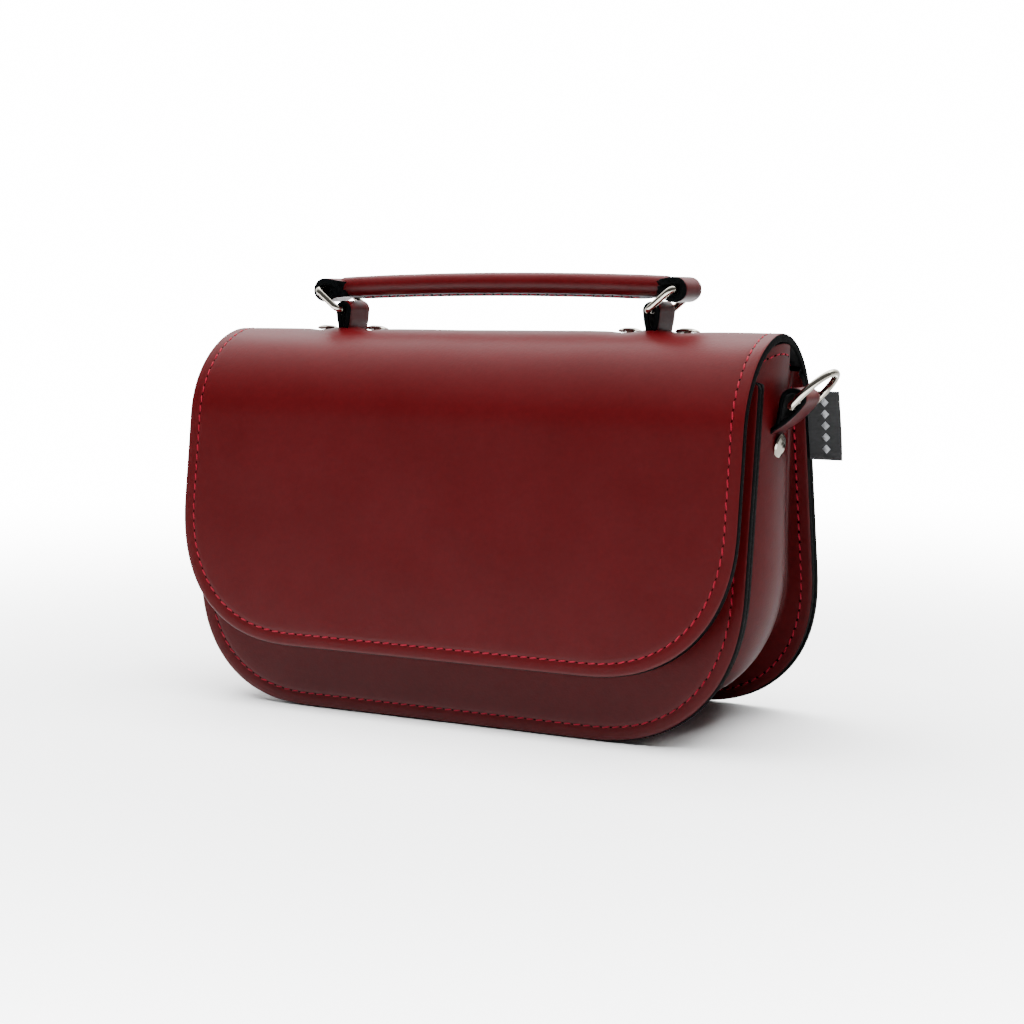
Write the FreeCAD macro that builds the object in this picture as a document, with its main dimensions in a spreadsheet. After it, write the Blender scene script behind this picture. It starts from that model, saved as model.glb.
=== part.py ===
import FreeCAD, Part
import math
import os

# Leather top-handle satchel.  Millimetres, X across the width, the front faces -Y, Z up.
# The origin is the bottom centre of the bounding box, on the surface the bag stands on.

# ---------------------------------------------------------------- driving sizes
SIZES = {
    # body panels
    "panel_width": 240.0,
    "panel_thick": 2.8,
    "panel_corner": 54.0,
    "panel_top_corner": 5.0,
    "front_height": 131.0,
    "back_height": 132.6,
    "front_foot": -40.3,
    "front_lean": 0.140,
    "back_foot": 49.5,
    "back_lean": -0.165,
    # gusset strip
    "gusset_thick": 2.4,
    "gusset_inset": 2.0,
    "gusset_top_gap": 1.2,
    "bulge_radius": 39.0,
    "bulge_half_width": 16.0,
    "bulge_reach": 30.0,
    "bulge_end": 52.0,
    "flange_reach": 24.0,
    "flange_height": 129.0,
    # flap
    "flap_width": 241.6,
    "flap_foot": -52.9,
    "flap_lean": 0.138,
    "flap_bottom": 25.0,
    "flap_corner": 53.0,
    "barrel_back_radius": 30.0,
    "barrel_back_height": 122.8,
    "barrel_front_radius": 40.0,
    "hinge_gap": 0.4,
    # handle mounts
    "mount_spacing": 137.6,
    "mount_depth": 4.0,
    "strap_width": 14.7,
    "strap_thick": 2.0,
    "slot_clearance": 0.35,
    "slot_end_room": 1.2,
    "rivet_offset": 11.8,
    "rivet_cap_diameter": 9.5,
    "rivet_cap_height": 1.5,
    "rivet_rim": 0.3,
    "rivet_shoulder": 0.5,
    "rivet_post_diameter": 3.0,
    "rivet_back_diameter": 8.0,
    "rivet_back_height": 1.1,
    "rivet_back_rim": 0.2,
    "tail_past_rivet": 7.0,
    "tail_start_angle": 20.0,
    # rectangular rings
    "ring_wire": 2.6,
    "ring_across": 22.4,
    "ring_out": 10.0,
    "ring_up": 8.0,
    "ring_corner": 2.4,
    "ring_bar_height": 155.7,
    "pin_clearance": 0.1,
    # handle
    "handle_radius": 4.1,
    "handle_lift": 1.1,
    "core_radius": 2.3,
    "core_end_gap": 9.0,
    "core_peg_gap": 0.3,
    "core_peg_play": 0.4,
    "core_peg_overlap": 1.5,
    "handle_half_length": 70.6,
    "handle_arch": 1.4,
    "seam_fin_height": 4.9,
    "seam_fin_width": 3.4,
    "seam_fin_half_length": 61.0,
    "loop_radius": 3.9,
    "loop_gap": 0.45,
    "loop_shoulder": 3.2,
    "open_eye_slack": 0.35,
    "open_eye_travel": 0.3,
    # D-rings and side tabs
    "d_wire": 2.7,
    "d_across": 22.7,
    "d_straight": 6.0,
    "d_corner": 1.9,
    "d_tilt": 45.0,
    "d_bar_reach": 126.2,
    "d_bar_height": 121.6,
    "tab_low": 113.5,
    "tab_high": 127.5,
    "side_depth": 3.0,
    "side_rivet_height": 106.8,
    "side_rivet_tilt": 12.0,
    "tail_room": 0.9,
    "tail_below_rivet": 7.0,
    # clasp
    "clasp_height": 48.0,
    "clasp_diameter": 15.0,
    "panel_clasp_height": 3.7,
    "flap_clasp_height": 3.5,
    "clasp_patch_diameter": 30.0,
    "clasp_patch_thick": 1.8,
    "clasp_washer_diameter": 17.0,
    "clasp_washer_thick": 0.8,
    "clasp_post_diameter": 4.0,
    "clasp_rim": 0.5,
    # label
    "label_thick": 0.8,
    "label_bottom": 100.0,
    "label_height": 26.0,
    "label_reach": 132.8,
    "label_tail": 8.0,
}

doc = FreeCAD.newDocument("satchel_bag")
sheet = doc.addObject("Spreadsheet::Sheet", "Sizes")
for row, (alias, value) in enumerate(SIZES.items(), start=1):
    sheet.set(f"A{row}", alias)
    sheet.set(f"B{row}", str(value))
    sheet.setAlias(f"B{row}", alias)
doc.recompute()


def size(alias):
    """A driving size, read from the sheet."""
    return float(getattr(sheet, alias))


V = FreeCAD.Vector
X_AXIS = V(1, 0, 0)
Y_AXIS = V(0, 1, 0)
Z_AXIS = V(0, 0, 1)
# Sketch planes: local x, y of a front view are X, Z; of a side view they are Y, Z.
FRONT_VIEW = FreeCAD.Rotation(X_AXIS, 90)
SIDE_VIEW = FreeCAD.Rotation(V(1, 1, 1), 120)
# Reach of the construction blocks and tools that only need to pass the leather they trim.
FAR = 200.0
HOLE_REACH = 14.0
SLOT_REACH = 12.0
TAIL_BLOCK_HEIGHT = 20.0
TAIL_BLOCK_DROP = 15.0
OUTSIDE_ROOM = 10.0


# ---------------------------------------------------------------- sketch helpers
def line(start, end):
    return Part.LineSegment(V(start[0], start[1], 0), V(end[0], end[1], 0))


def arc(centre, radius, start_degrees, end_degrees):
    """Counter-clockwise arc of a sketch."""
    circle = Part.Circle(V(centre[0], centre[1], 0), Z_AXIS, radius)
    return Part.ArcOfCircle(circle, math.radians(start_degrees), math.radians(end_degrees))


def circle(centre, radius):
    return Part.Circle(V(centre[0], centre[1], 0), Z_AXIS, radius)


def polygon(points):
    return [line(a, b) for a, b in zip(points, points[1:] + points[:1])]


def sketch(name, edges, rotation, base=V(0, 0, 0)):
    drawn = doc.addObject("Sketcher::SketchObject", name)
    drawn.Placement = FreeCAD.Placement(base, rotation)
    for edge in edges:
        drawn.addGeometry(edge, False)
    return drawn


def extrusion(name, profile, length, expression=None):
    """A solid of a sketch, the same length to both sides of it."""
    solid = doc.addObject("Part::Extrusion", name)
    solid.Base = profile
    solid.DirMode = "Normal"
    solid.LengthFwd = length
    if expression:
        solid.setExpression("LengthFwd", expression)
    solid.Symmetric = True
    solid.Solid = True
    return solid


def common(name, shapes):
    both = doc.addObject("Part::MultiCommon", name)
    both.Shapes = shapes
    return both


def fuse(name, shapes):
    joined = doc.addObject("Part::MultiFuse", name)
    joined.Shapes = shapes
    return joined


def cut(name, base, tools):
    """The base less the tools, which are joined first when there are several."""
    result = doc.addObject("Part::Cut", name)
    result.Base = base
    result.Tool = tools[0] if len(tools) == 1 else fuse(name + "_tools", tools)
    return result


def cylinder(name, diameter_cell, length, base, rotation):
    """A round tool centred on its base point, along the rotated Z axis."""
    rod = doc.addObject("Part::Cylinder", name)
    rod.setExpression("Radius", f"Sizes.{diameter_cell} / 2")
    rod.Height = length
    rod.Placement = FreeCAD.Placement(base - rotation.multVec(Z_AXIS) * (length / 2), rotation)
    return rod


def label_as(node, solid):
    solid.Label = node
    NODES.append(solid)
    return solid


NODES = []


# ---------------------------------------------------------------- shared geometry
class Lean:
    """A leaning face of the bag: y = foot + lean * z on its outer side."""

    def __init__(self, foot, lean, inward):
        self.foot = foot
        self.lean = lean
        self.inward = inward
        self.slant = math.hypot(1.0, lean)

    def y_at(self, height, depth=0.0):
        """Y at a height, a depth inward from the outer face."""
        return self.foot + self.lean * height + self.inward * depth * self.slant

    def normal(self):
        """Unit normal that points inward, as (y, z)."""
        return (self.inward / self.slant, -self.inward * self.lean / self.slant)

    def band(self, low, high, outer, inner):
        """Side-view outline of a layer between two depths and two heights."""
        return polygon([(self.y_at(low, outer), low), (self.y_at(low, inner), low),
                        (self.y_at(high, inner), high), (self.y_at(high, outer), high)])

    def tilt(self):
        """Lean of the face about X, in degrees."""
        return math.degrees(math.atan(self.lean))


FRONT = Lean(size("front_foot"), size("front_lean"), 1)
BACK = Lean(size("back_foot"), size("back_lean"), -1)
FLAP = Lean(size("flap_foot"), size("flap_lean"), 1)
LEATHER = size("panel_thick")
GUSSET = size("gusset_thick")


def u_strip(outer, inner, top):
    """Front-view outline of a U-shaped strip between two insets from the panel edge."""
    half = size("panel_width") / 2
    corner = size("panel_corner")
    edges = []
    centre_x = half - corner
    for inset in (outer, inner):
        side = half - inset
        radius = corner - inset
        edges += [line((-side, top), (-side, corner)),
                  arc((-centre_x, corner), radius, 180, 270),
                  line((-centre_x, inset), (centre_x, inset)),
                  arc((centre_x, corner), radius, 270, 360),
                  line((side, corner), (side, top))]
    edges += [line((-half + outer, top), (-half + inner, top)),
              line((half - inner, top), (half - outer, top))]
    return edges


def rounded_outline(half, bottom, top, corner, top_corner):
    """Front-view outline of a panel with large lower corners and small or no upper ones."""
    lower = bottom + corner
    edges = [arc((-half + corner, lower), corner, 180, 270),
             line((-half + corner, bottom), (half - corner, bottom)),
             arc((half - corner, lower), corner, 270, 360),
             line((half, lower), (half, top - top_corner)),
             line((-half + top_corner, top), (half - top_corner, top)),
             line((-half, top - top_corner), (-half, lower))]
    if top_corner > 0:
        edges += [arc((half - top_corner, top - top_corner), top_corner, 0, 90),
                  arc((-half + top_corner, top - top_corner), top_corner, 90, 180)]
    return edges


class Barrel:
    """The rolled top of the flap: a back arc and a larger front arc, tangent to both faces."""

    def __init__(self):
        self.back_radius = size("barrel_back_radius")
        self.front_radius = size("barrel_front_radius")
        height = size("barrel_back_height")
        normal_y, normal_z = BACK.normal()
        self.back_centre = (BACK.y_at(height) + self.back_radius * normal_y,
                            height + self.back_radius * normal_z)
        normal_y, normal_z = FLAP.normal()
        base = (FLAP.y_at(0) + self.front_radius * normal_y - self.back_centre[0],
                self.front_radius * normal_z - self.back_centre[1])
        along = (FLAP.lean / FLAP.slant, 1 / FLAP.slant)
        middle = -(base[0] * along[0] + base[1] * along[1])
        apart = base[0] * along[1] - base[1] * along[0]
        reach = middle - math.sqrt((self.front_radius - self.back_radius) ** 2 - apart ** 2)
        self.front_centre = (base[0] + reach * along[0] + self.back_centre[0],
                             base[1] + reach * along[1] + self.back_centre[1])
        self.joint_angle = math.degrees(math.atan2(self.back_centre[1] - self.front_centre[1],
                                                   self.back_centre[0] - self.front_centre[0]))
        self.front_angle = 180 - FLAP.tilt()
        self.back_angle = -BACK.tilt()

    def point(self, centre, radius, angle):
        turn = math.radians(angle)
        return (centre[0] + radius * math.cos(turn), centre[1] + radius * math.sin(turn))

    def arcs(self, depth, start_angle=None):
        """Arcs at a depth under the outer face, and their two end points."""
        start = self.back_angle if start_angle is None else start_angle
        back_radius = self.back_radius - depth
        front_radius = self.front_radius - depth
        edges = [arc(self.back_centre, back_radius, start, self.joint_angle),
                 arc(self.front_centre, front_radius, self.joint_angle, self.front_angle)]
        return (edges, self.point(self.back_centre, back_radius, start),
                self.point(self.front_centre, front_radius, self.front_angle))

    def angle_at(self, height):
        """Angle on the outer back arc at a height."""
        return math.degrees(math.asin((height - self.back_centre[1]) / self.back_radius))

    def back_layer(self, outer, inner, top_angle):
        """Side-view outline of a back layer, straight from the floor and then round the arc."""
        edges = []
        ends = []
        for depth in (outer, inner):
            radius = self.back_radius - depth
            foot = (BACK.y_at(0, depth), 0)
            start = self.point(self.back_centre, radius, self.back_angle)
            edges += [line(foot, start), arc(self.back_centre, radius, self.back_angle, top_angle)]
            ends += [foot, self.point(self.back_centre, radius, top_angle)]
        return edges + [line(ends[0], ends[2]), line(ends[1], ends[3])]

    def layer(self, outer, inner, bottom, start_angle):
        """Side-view outline of a layer from a back angle over the top and down the front."""
        outer_arcs, outer_back, outer_front = self.arcs(outer, start_angle)
        inner_arcs, inner_back, inner_front = self.arcs(inner, start_angle)
        outer_foot = (FLAP.y_at(bottom, outer), bottom)
        inner_foot = (FLAP.y_at(bottom, inner), bottom)
        return (outer_arcs + inner_arcs
                + [line(outer_back, inner_back), line(outer_front, outer_foot),
                   line(inner_front, inner_foot), line(outer_foot, inner_foot)])

    def under(self, depth):
        """Side-view outline of everything below a depth under the rolled top."""
        edges, back_end, front_end = self.arcs(depth)
        foot_back = (BACK.y_at(0, depth), 0)
        foot_front = (FLAP.y_at(0, depth), 0)
        return edges + [line(back_end, foot_back), line(foot_back, foot_front),
                        line(foot_front, front_end)]

    def top_frame(self, depth_y):
        """Height of the outer face over a Y near the top, and the tilt of its normal."""
        offset = depth_y - self.back_centre[0]
        height = self.back_centre[1] + math.sqrt(self.back_radius ** 2 - offset ** 2)
        return height, math.degrees(math.asin(offset / self.back_radius))


BARREL = Barrel()
HINGE_ANGLE = BARREL.angle_at(size("back_height"))
HALF_GAP_ANGLE = math.degrees(size("hinge_gap") / 2 / size("barrel_back_radius"))
MOUNT_X = size("mount_spacing") / 2
MOUNT_Y = size("mount_depth")
MOUNT_TOP, MOUNT_TILT = BARREL.top_frame(MOUNT_Y)
MOUNT_PIVOT_HEIGHT = MOUNT_TOP - LEATHER / 2
SIDES = {"left": -1, "right": 1}
WALL_X = size("panel_width") / 2 - size("gusset_inset")


# ---------------------------------------------------------------- panels, label and gusset
def panel(node, layer, top, top_corner, holes):
    """A leather panel: its front-view outline cut to a leaning layer."""
    outline = sketch(node + "_outline",
                     rounded_outline(size("panel_width") / 2, 0, top, size("panel_corner"), top_corner),
                     FRONT_VIEW)
    section = sketch(node + "_section", layer, SIDE_VIEW)
    plate = common(node + "_plate", [extrusion(node + "_block", outline, FAR),
                                     extrusion(node + "_layer", section, FAR,
                                               "Sizes.panel_width + 10")])
    return label_as(node, cut(node, plate, holes))


def lean_rotation(face):
    """Rotation whose Z axis points inward through a leaning face."""
    normal_y, normal_z = face.normal()
    return FreeCAD.Rotation(Z_AXIS, V(0, normal_y, normal_z))


def on_face(face, height, depth):
    """Point on the centre line of a leaning face, a depth inward."""
    normal_y, normal_z = face.normal()
    return V(0, face.foot + face.lean * height + depth * normal_y, height + depth * normal_z)


def make_label():
    """Folded woven label, its tail sewn between the back panel and the gusset."""
    plate = sketch("label_section",
                   BACK.band(size("label_bottom"), size("label_bottom") + size("label_height"),
                             LEATHER - size("label_thick"), LEATHER), SIDE_VIEW)
    width = size("label_reach") - size("panel_width") / 2 + size("label_tail")
    middle = size("label_reach") - width / 2
    plate.Placement.Base = V(middle, 0, 0)
    return label_as("woven_label", extrusion("woven_label", plate, width))


def label_recess():
    """Shallow bed for the label's tail in the back panel."""
    bed = sketch("label_bed_section",
                 BACK.band(size("label_bottom"), size("label_bottom") + size("label_height"),
                           LEATHER - size("label_thick"), LEATHER + 1), SIDE_VIEW)
    inner = size("panel_width") / 2 - size("label_tail")
    past_edge = 2 * size("label_tail")
    bed.Placement.Base = V(inner + past_edge / 2, 0, 0)
    return extrusion("label_bed", bed, past_edge)


def offset_polyline(points, distance):
    """Open polyline moved sideways, to the left of its direction, with mitred corners."""
    normals = []
    for (x1, y1), (x2, y2) in zip(points, points[1:]):
        length = math.hypot(x2 - x1, y2 - y1)
        normals.append(((y1 - y2) / length, (x2 - x1) / length))
    moved = []
    for index, (x, y) in enumerate(points):
        before = normals[max(index - 1, 0)]
        after = normals[min(index, len(normals) - 1)]
        share = distance / (1 + before[0] * after[0] + before[1] * after[1])
        moved.append((x + share * (before[0] + after[0]), y + share * (before[1] + after[1])))
    return moved


def bulge_side(sign, inward):
    """Half of the gusset's section beyond its round middle: a slope, then a flatter end."""
    radius = size("bulge_radius")
    half = size("bulge_half_width")
    crest = WALL_X - radius
    slope = math.asin(half / radius)
    start = (crest + radius * math.cos(slope), half)
    reach = size("bulge_reach")
    last = size("bulge_end")
    corner = (start[0] - (reach - half) * math.tan(slope), reach)
    end = (corner[0] - (last - reach) * math.tan(slope / 4), last)
    points = offset_polyline([start, corner, end], inward)
    return [(x, size("side_depth") + sign * y) for x, y in points]


def bulge_curve(inward):
    """The gusset's section at a depth under its grain side, from back to front, as edges."""
    radius = size("bulge_radius")
    slope = math.degrees(math.asin(size("bulge_half_width") / radius))
    back = bulge_side(1, inward)
    front = bulge_side(-1, inward)
    middle = arc((WALL_X - radius, size("side_depth")), radius - inward, -slope, slope)
    edges = [line(a, b) for a, b in zip(back, back[1:])]
    edges += [middle] + [line(a, b) for a, b in zip(front, front[1:])]
    return edges, back[-1], front[-1]


def swept_round(name, edges):
    """A section swept down one side, along the bottom and up the other side of the bag."""
    radius = size("panel_corner") - size("gusset_inset")
    corner_x = WALL_X - radius
    corner_z = size("panel_corner")
    low = size("gusset_inset")
    path = sketch(name + "_path", [line((WALL_X, FAR), (WALL_X, corner_z)),
                                   arc((corner_x, corner_z), radius, 270, 360),
                                   line((corner_x, low), (-corner_x, low)),
                                   arc((-corner_x, corner_z), radius, 180, 270),
                                   line((-WALL_X, corner_z), (-WALL_X, FAR))], FRONT_VIEW)
    section = sketch(name + "_section", edges, FreeCAD.Rotation(), V(0, 0, FAR))
    swept = doc.addObject("Part::Sweep", name)
    swept.Sections = [section]
    swept.Spine = (path, [f"Edge{n + 1}" for n in range(5)])
    swept.Solid = True
    swept.Transition = "Right corner"
    return swept


def make_gusset(holes):
    """One U-shaped strip: the bulging wall, and a flange turned outward along each panel."""
    top = size("flange_height")
    trapezoid = polygon([(FRONT.y_at(0, LEATHER), 0), (BACK.y_at(0, LEATHER), 0),
                         (BACK.y_at(FAR, LEATHER), FAR), (FRONT.y_at(FAR, LEATHER), FAR)])
    roof = BARREL.under(size("panel_thick") + size("gusset_top_gap"))
    grain, grain_back, grain_front = bulge_curve(0)
    flesh, flesh_back, flesh_front = bulge_curve(GUSSET)
    outside_x = WALL_X + OUTSIDE_ROOM
    wall = common("gusset_wall", [
        swept_round("gusset_wall_strip", grain + flesh + [line(grain_back, flesh_back),
                                                          line(grain_front, flesh_front)]),
        extrusion("gusset_wall_width", sketch("gusset_wall_section", trapezoid, SIDE_VIEW), 2 * FAR),
        extrusion("gusset_wall_roof", sketch("gusset_roof_section", roof, SIDE_VIEW), 2 * FAR)])
    outside = swept_round("gusset_outside", flesh + [
        line(flesh_back, (outside_x, flesh_back[1])), line(flesh_front, (outside_x, flesh_front[1])),
        line((outside_x, flesh_back[1]), (outside_x, flesh_front[1]))])
    pieces = [wall]
    layers = {"front": FRONT.band(0, top, LEATHER, LEATHER + GUSSET),
              "back": BARREL.back_layer(LEATHER, LEATHER + GUSSET, BARREL.angle_at(top))}
    for side, layer in layers.items():
        outline = sketch(f"gusset_{side}_flange_outline", u_strip(0, size("flange_reach"), top), FRONT_VIEW)
        section = sketch(f"gusset_{side}_flange_section", layer, SIDE_VIEW)
        pieces.append(common(f"gusset_{side}_flange", [
            extrusion(f"gusset_{side}_flange_strip", outline, FAR),
            extrusion(f"gusset_{side}_flange_layer", section, 2 * FAR), outside]))
    return label_as("gusset", cut("gusset", fuse("gusset_strip", pieces), holes))


# ---------------------------------------------------------------- rivets and clasp
def revolved(name, outline, copies):
    """A turned part from an (r, z) outline, and one placed copy for each placement."""
    body = doc.addObject("PartDesign::Body", name + "_body")
    plane = next(f for f in body.Origin.OriginFeatures if f.Role == "XZ_Plane")
    drawn = body.newObject("Sketcher::SketchObject", name + "_profile")
    drawn.AttachmentSupport = [(plane, "")]
    drawn.MapMode = "FlatFace"
    for edge in polygon(outline):
        drawn.addGeometry(edge, False)
    turned = body.newObject("PartDesign::Revolution", name + "_turned")
    turned.Profile = drawn
    turned.ReferenceAxis = (drawn, ["V_Axis"])
    turned.Angle = 360.0
    doc.recompute()
    placed = []
    for number, placement in enumerate(copies, start=1):
        link = doc.addObject("Part::Feature", f"{name}_{number}")
        link.Shape = body.Shape.transformed(placement.toMatrix())
        placed.append(link)
    return placed


def rivet_cap(thickness):
    """Low domed cap and its post, standing on z = 0 with the post below."""
    cap = size("rivet_cap_diameter") / 2
    post = size("rivet_post_diameter") / 2
    height = size("rivet_cap_height")
    rim = size("rivet_rim")
    shoulder = (cap - size("rivet_shoulder"), height * 0.55)
    dome = (cap * 0.55, height * 0.93)
    return [(0, -thickness), (post, -thickness), (post, 0), (cap - rim, 0), (cap, rim),
            shoulder, dome, (0, height)]


def rivet_back():
    """Flat back cap that is set on the end of the post."""
    radius = size("rivet_back_diameter") / 2
    height = size("rivet_back_height")
    rim = size("rivet_back_rim")
    return [(0, 0), (radius - rim, 0), (radius, -rim), (radius - 2 * rim, -height + 1.5 * rim),
            (radius * 0.6, -height), (0, -height)]


def mount_rivet_places():
    """Placements on top of the flap, two beside each handle mount."""
    turn = FreeCAD.Rotation(X_AXIS, -MOUNT_TILT)
    return [FreeCAD.Placement(V(side * MOUNT_X + step * size("rivet_offset"), MOUNT_Y, MOUNT_TOP), turn)
            for side in SIDES.values() for step in (-1, 1)]


def side_rivet_places():
    """Placements on the outer wall of the gusset, one on each side, facing a little down."""
    turn = 90 + size("side_rivet_tilt")
    return [FreeCAD.Placement(V(side * WALL_X, size("side_depth"), size("side_rivet_height")),
                              FreeCAD.Rotation(Y_AXIS, side * turn)) for side in SIDES.values()]


def make_rivets(prefix, places, grip):
    """Rivet caps and backs through two layers, one node for each kind."""
    caps = revolved(prefix + "_rivet_cap", rivet_cap(grip), places)
    lower = [place.multiply(FreeCAD.Placement(V(0, 0, -grip), FreeCAD.Rotation())) for place in places]
    backs = revolved(prefix + "_rivet_back", rivet_back(), lower)
    label_as(prefix + "_rivet_caps", fuse(prefix + "_rivet_caps", caps))
    label_as(prefix + "_rivet_backs", fuse(prefix + "_rivet_backs", backs))
    return caps, backs


def rivet_holes(prefix, places, length):
    return [cylinder(f"{prefix}_rivet_hole_{number}", "rivet_post_diameter", length, place.Base,
                     place.Rotation) for number, place in enumerate(places, start=1)]


def disc(height, diameter, post_diameter=0.0, post_length=0.0):
    """Outline of a disc with a softened rim, standing on z = 0, and an optional post below."""
    radius = diameter / 2
    soft = size("clasp_rim")
    rim = [(radius, 0), (radius, height - soft), (radius - soft, height), (0, height)]
    if post_length:
        post = post_diameter / 2
        return [(0, -post_length), (post, -post_length), (post, 0)] + rim
    return [(0, 0)] + rim


def ring_outline(inner_diameter, outer_diameter, height):
    return [(inner_diameter / 2, 0), (outer_diameter / 2, 0), (outer_diameter / 2, height),
            (inner_diameter / 2, height)]


def turned_node(node, outline, placement):
    return label_as(node, revolved(node, outline, [placement])[0])


def make_clasp():
    """Magnetic stud on the front panel and its partner under the flap."""
    height = size("clasp_height")
    post = size("clasp_post_diameter")
    washer = size("clasp_washer_thick")
    outward = FreeCAD.Placement(on_face(FRONT, height, 0),
                                lean_rotation(FRONT).multiply(FreeCAD.Rotation(X_AXIS, 180)))
    turned_node("panel_clasp", disc(size("panel_clasp_height"), size("clasp_diameter"), post,
                                    LEATHER + washer), outward)
    inward = FreeCAD.Placement(on_face(FRONT, height, LEATHER), lean_rotation(FRONT))
    turned_node("panel_clasp_washer", ring_outline(post, size("clasp_washer_diameter"), washer), inward)
    patch = size("clasp_patch_thick")
    under_flap = FreeCAD.Placement(on_face(FLAP, height, LEATHER), lean_rotation(FLAP))
    turned_node("clasp_patch", ring_outline(post, size("clasp_patch_diameter"), patch), under_flap)
    on_patch = FreeCAD.Placement(on_face(FLAP, height, LEATHER + patch), lean_rotation(FLAP))
    turned_node("flap_clasp", disc(size("flap_clasp_height"), size("clasp_diameter"), post, patch),
                on_patch)


# ---------------------------------------------------------------- flap and handle mounts
def make_flap():
    """The flap leather from the hinge line over the rolled top and down the front."""
    start = HINGE_ANGLE + HALF_GAP_ANGLE
    section = sketch("flap_section", BARREL.layer(0, LEATHER, size("flap_bottom"), start), SIDE_VIEW)
    outline = sketch("flap_outline", rounded_outline(size("flap_width") / 2, size("flap_bottom"), FAR,
                                                     size("flap_corner"), 0), FRONT_VIEW)
    skin = common("flap_skin", [
        extrusion("flap_sheet", section, FAR, "Sizes.flap_width + 10"),
        extrusion("flap_block", outline, FAR)])
    slots = []
    for side, sign in SIDES.items():
        slot = doc.addObject("Part::Box", f"flap_slot_{side}")
        slot.setExpression("Length", "2 * (Sizes.strap_thick + Sizes.slot_clearance)")
        slot.setExpression("Width", "Sizes.strap_width + 2 * Sizes.slot_end_room")
        slot.Height = SLOT_REACH
        doc.recompute()
        slot.Placement.Base = V(sign * MOUNT_X - slot.Length.Value / 2, MOUNT_Y - slot.Width.Value / 2,
                                MOUNT_PIVOT_HEIGHT - SLOT_REACH / 2)
        slots.append(slot)
    holes = rivet_holes("flap", mount_rivet_places(), HOLE_REACH)
    return label_as("flap", cut("flap", skin, slots + holes))


def make_strap_tails(rivet_backs):
    """Strap ends under the flap, spread to both sides of each slot and riveted there."""
    inner = LEATHER + size("strap_thick")
    section = sketch("tail_section", BARREL.layer(LEATHER, inner, size("flap_bottom"),
                                                  size("tail_start_angle")), SIDE_VIEW)
    layer = extrusion("tail_layer", section, FAR, "Sizes.panel_width")
    near = size("strap_thick") + size("slot_clearance")
    reach = size("rivet_offset") + size("tail_past_rivet")
    for side, sign in SIDES.items():
        ends = []
        for step in (-1, 1):
            end = doc.addObject("Part::Box", f"tail_block_{side}_{'in' if step < 0 else 'out'}")
            end.Length = reach - near
            end.setExpression("Width", "Sizes.strap_width")
            end.Height = TAIL_BLOCK_HEIGHT
            first = sign * MOUNT_X + (near if step > 0 else -reach)
            end.Placement.Base = V(first, MOUNT_Y - size("strap_width") / 2, MOUNT_TOP - TAIL_BLOCK_DROP)
            ends.append(end)
        tails = common(f"strap_tails_{side}_skin",
                       [layer, fuse(f"strap_tails_{side}_blocks", ends)])
        places = [p for p in mount_rivet_places() if p.Base.x * sign > 0]
        node = f"strap_tails_{side}"
        seats = [back for back, place in zip(rivet_backs, mount_rivet_places()) if place in places]
        label_as(node, cut(node, tails, rivet_holes(node, places, HOLE_REACH) + seats))


def make_mount_loop(side, sign):
    """Strap loop that stands out of the slot and carries the lower bar of the ring."""
    bar = size("ring_bar_height")
    eye = size("ring_wire") / 2 + size("pin_clearance")
    outer = eye + size("strap_thick")
    neck = size("strap_thick")
    centre = (sign * MOUNT_X, bar)
    drop = MOUNT_PIVOT_HEIGHT - size("strap_width") / 2
    shoulder = bar - outer - size("loop_shoulder")
    lean_angle = math.degrees(math.atan2(outer - neck, bar - shoulder))
    turn = math.radians(-lean_angle)
    right = (centre[0] + outer * math.cos(turn), centre[1] + outer * math.sin(turn))
    left = (2 * centre[0] - right[0], right[1])
    edges = [arc(centre, outer, -lean_angle, 180 + lean_angle), line(right, (centre[0] + neck, shoulder)),
             line((centre[0] + neck, shoulder), (centre[0] + neck, drop)),
             line((centre[0] + neck, drop), (centre[0] - neck, drop)),
             line((centre[0] - neck, drop), (centre[0] - neck, shoulder)),
             line((centre[0] - neck, shoulder), left), circle(centre, eye)]
    node = f"mount_loop_{side}"
    blank = extrusion(node + "_blank", sketch(node + "_outline", edges, FRONT_VIEW, V(0, MOUNT_Y, 0)),
                      size("strap_width"), "Sizes.strap_width")
    half = size("strap_width") / 2
    top = bar + outer + 1
    foot = [line((MOUNT_Y - half, top), (MOUNT_Y - half, MOUNT_PIVOT_HEIGHT)),
            arc((MOUNT_Y, MOUNT_PIVOT_HEIGHT), half, 180, 360),
            line((MOUNT_Y + half, MOUNT_PIVOT_HEIGHT), (MOUNT_Y + half, top)),
            line((MOUNT_Y + half, top), (MOUNT_Y - half, top))]
    round_foot = extrusion(node + "_foot", sketch(node + "_foot_outline", foot, SIDE_VIEW), 2 * FAR)
    return label_as(node, common(node, [blank, round_foot]))


# ---------------------------------------------------------------- rings
def wire_ring(node, path_edges, wire_cell, start_point, placement):
    """A ring of round wire swept along a closed path in its own plane."""
    body = doc.addObject("PartDesign::Body", node)
    planes = {f.Role: f for f in body.Origin.OriginFeatures}
    path = body.newObject("Sketcher::SketchObject", node + "_path")
    path.AttachmentSupport = [(planes["XY_Plane"], "")]
    path.MapMode = "FlatFace"
    for edge in path_edges:
        path.addGeometry(edge, False)
    wire = body.newObject("Sketcher::SketchObject", node + "_wire")
    wire.AttachmentSupport = [(planes["XZ_Plane"], "")]
    wire.MapMode = "FlatFace"
    wire.addGeometry(circle(start_point, size(wire_cell) / 2), False)
    pipe = body.newObject("PartDesign::AdditivePipe", node + "_pipe")
    pipe.Profile = wire
    doc.recompute()
    pipe.Spine = (path, [f"Edge{n + 1}" for n in range(len(path_edges))])
    pipe.Transition = "Transformed"
    doc.recompute()
    body.Placement = placement
    return label_as(node, body)


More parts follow.
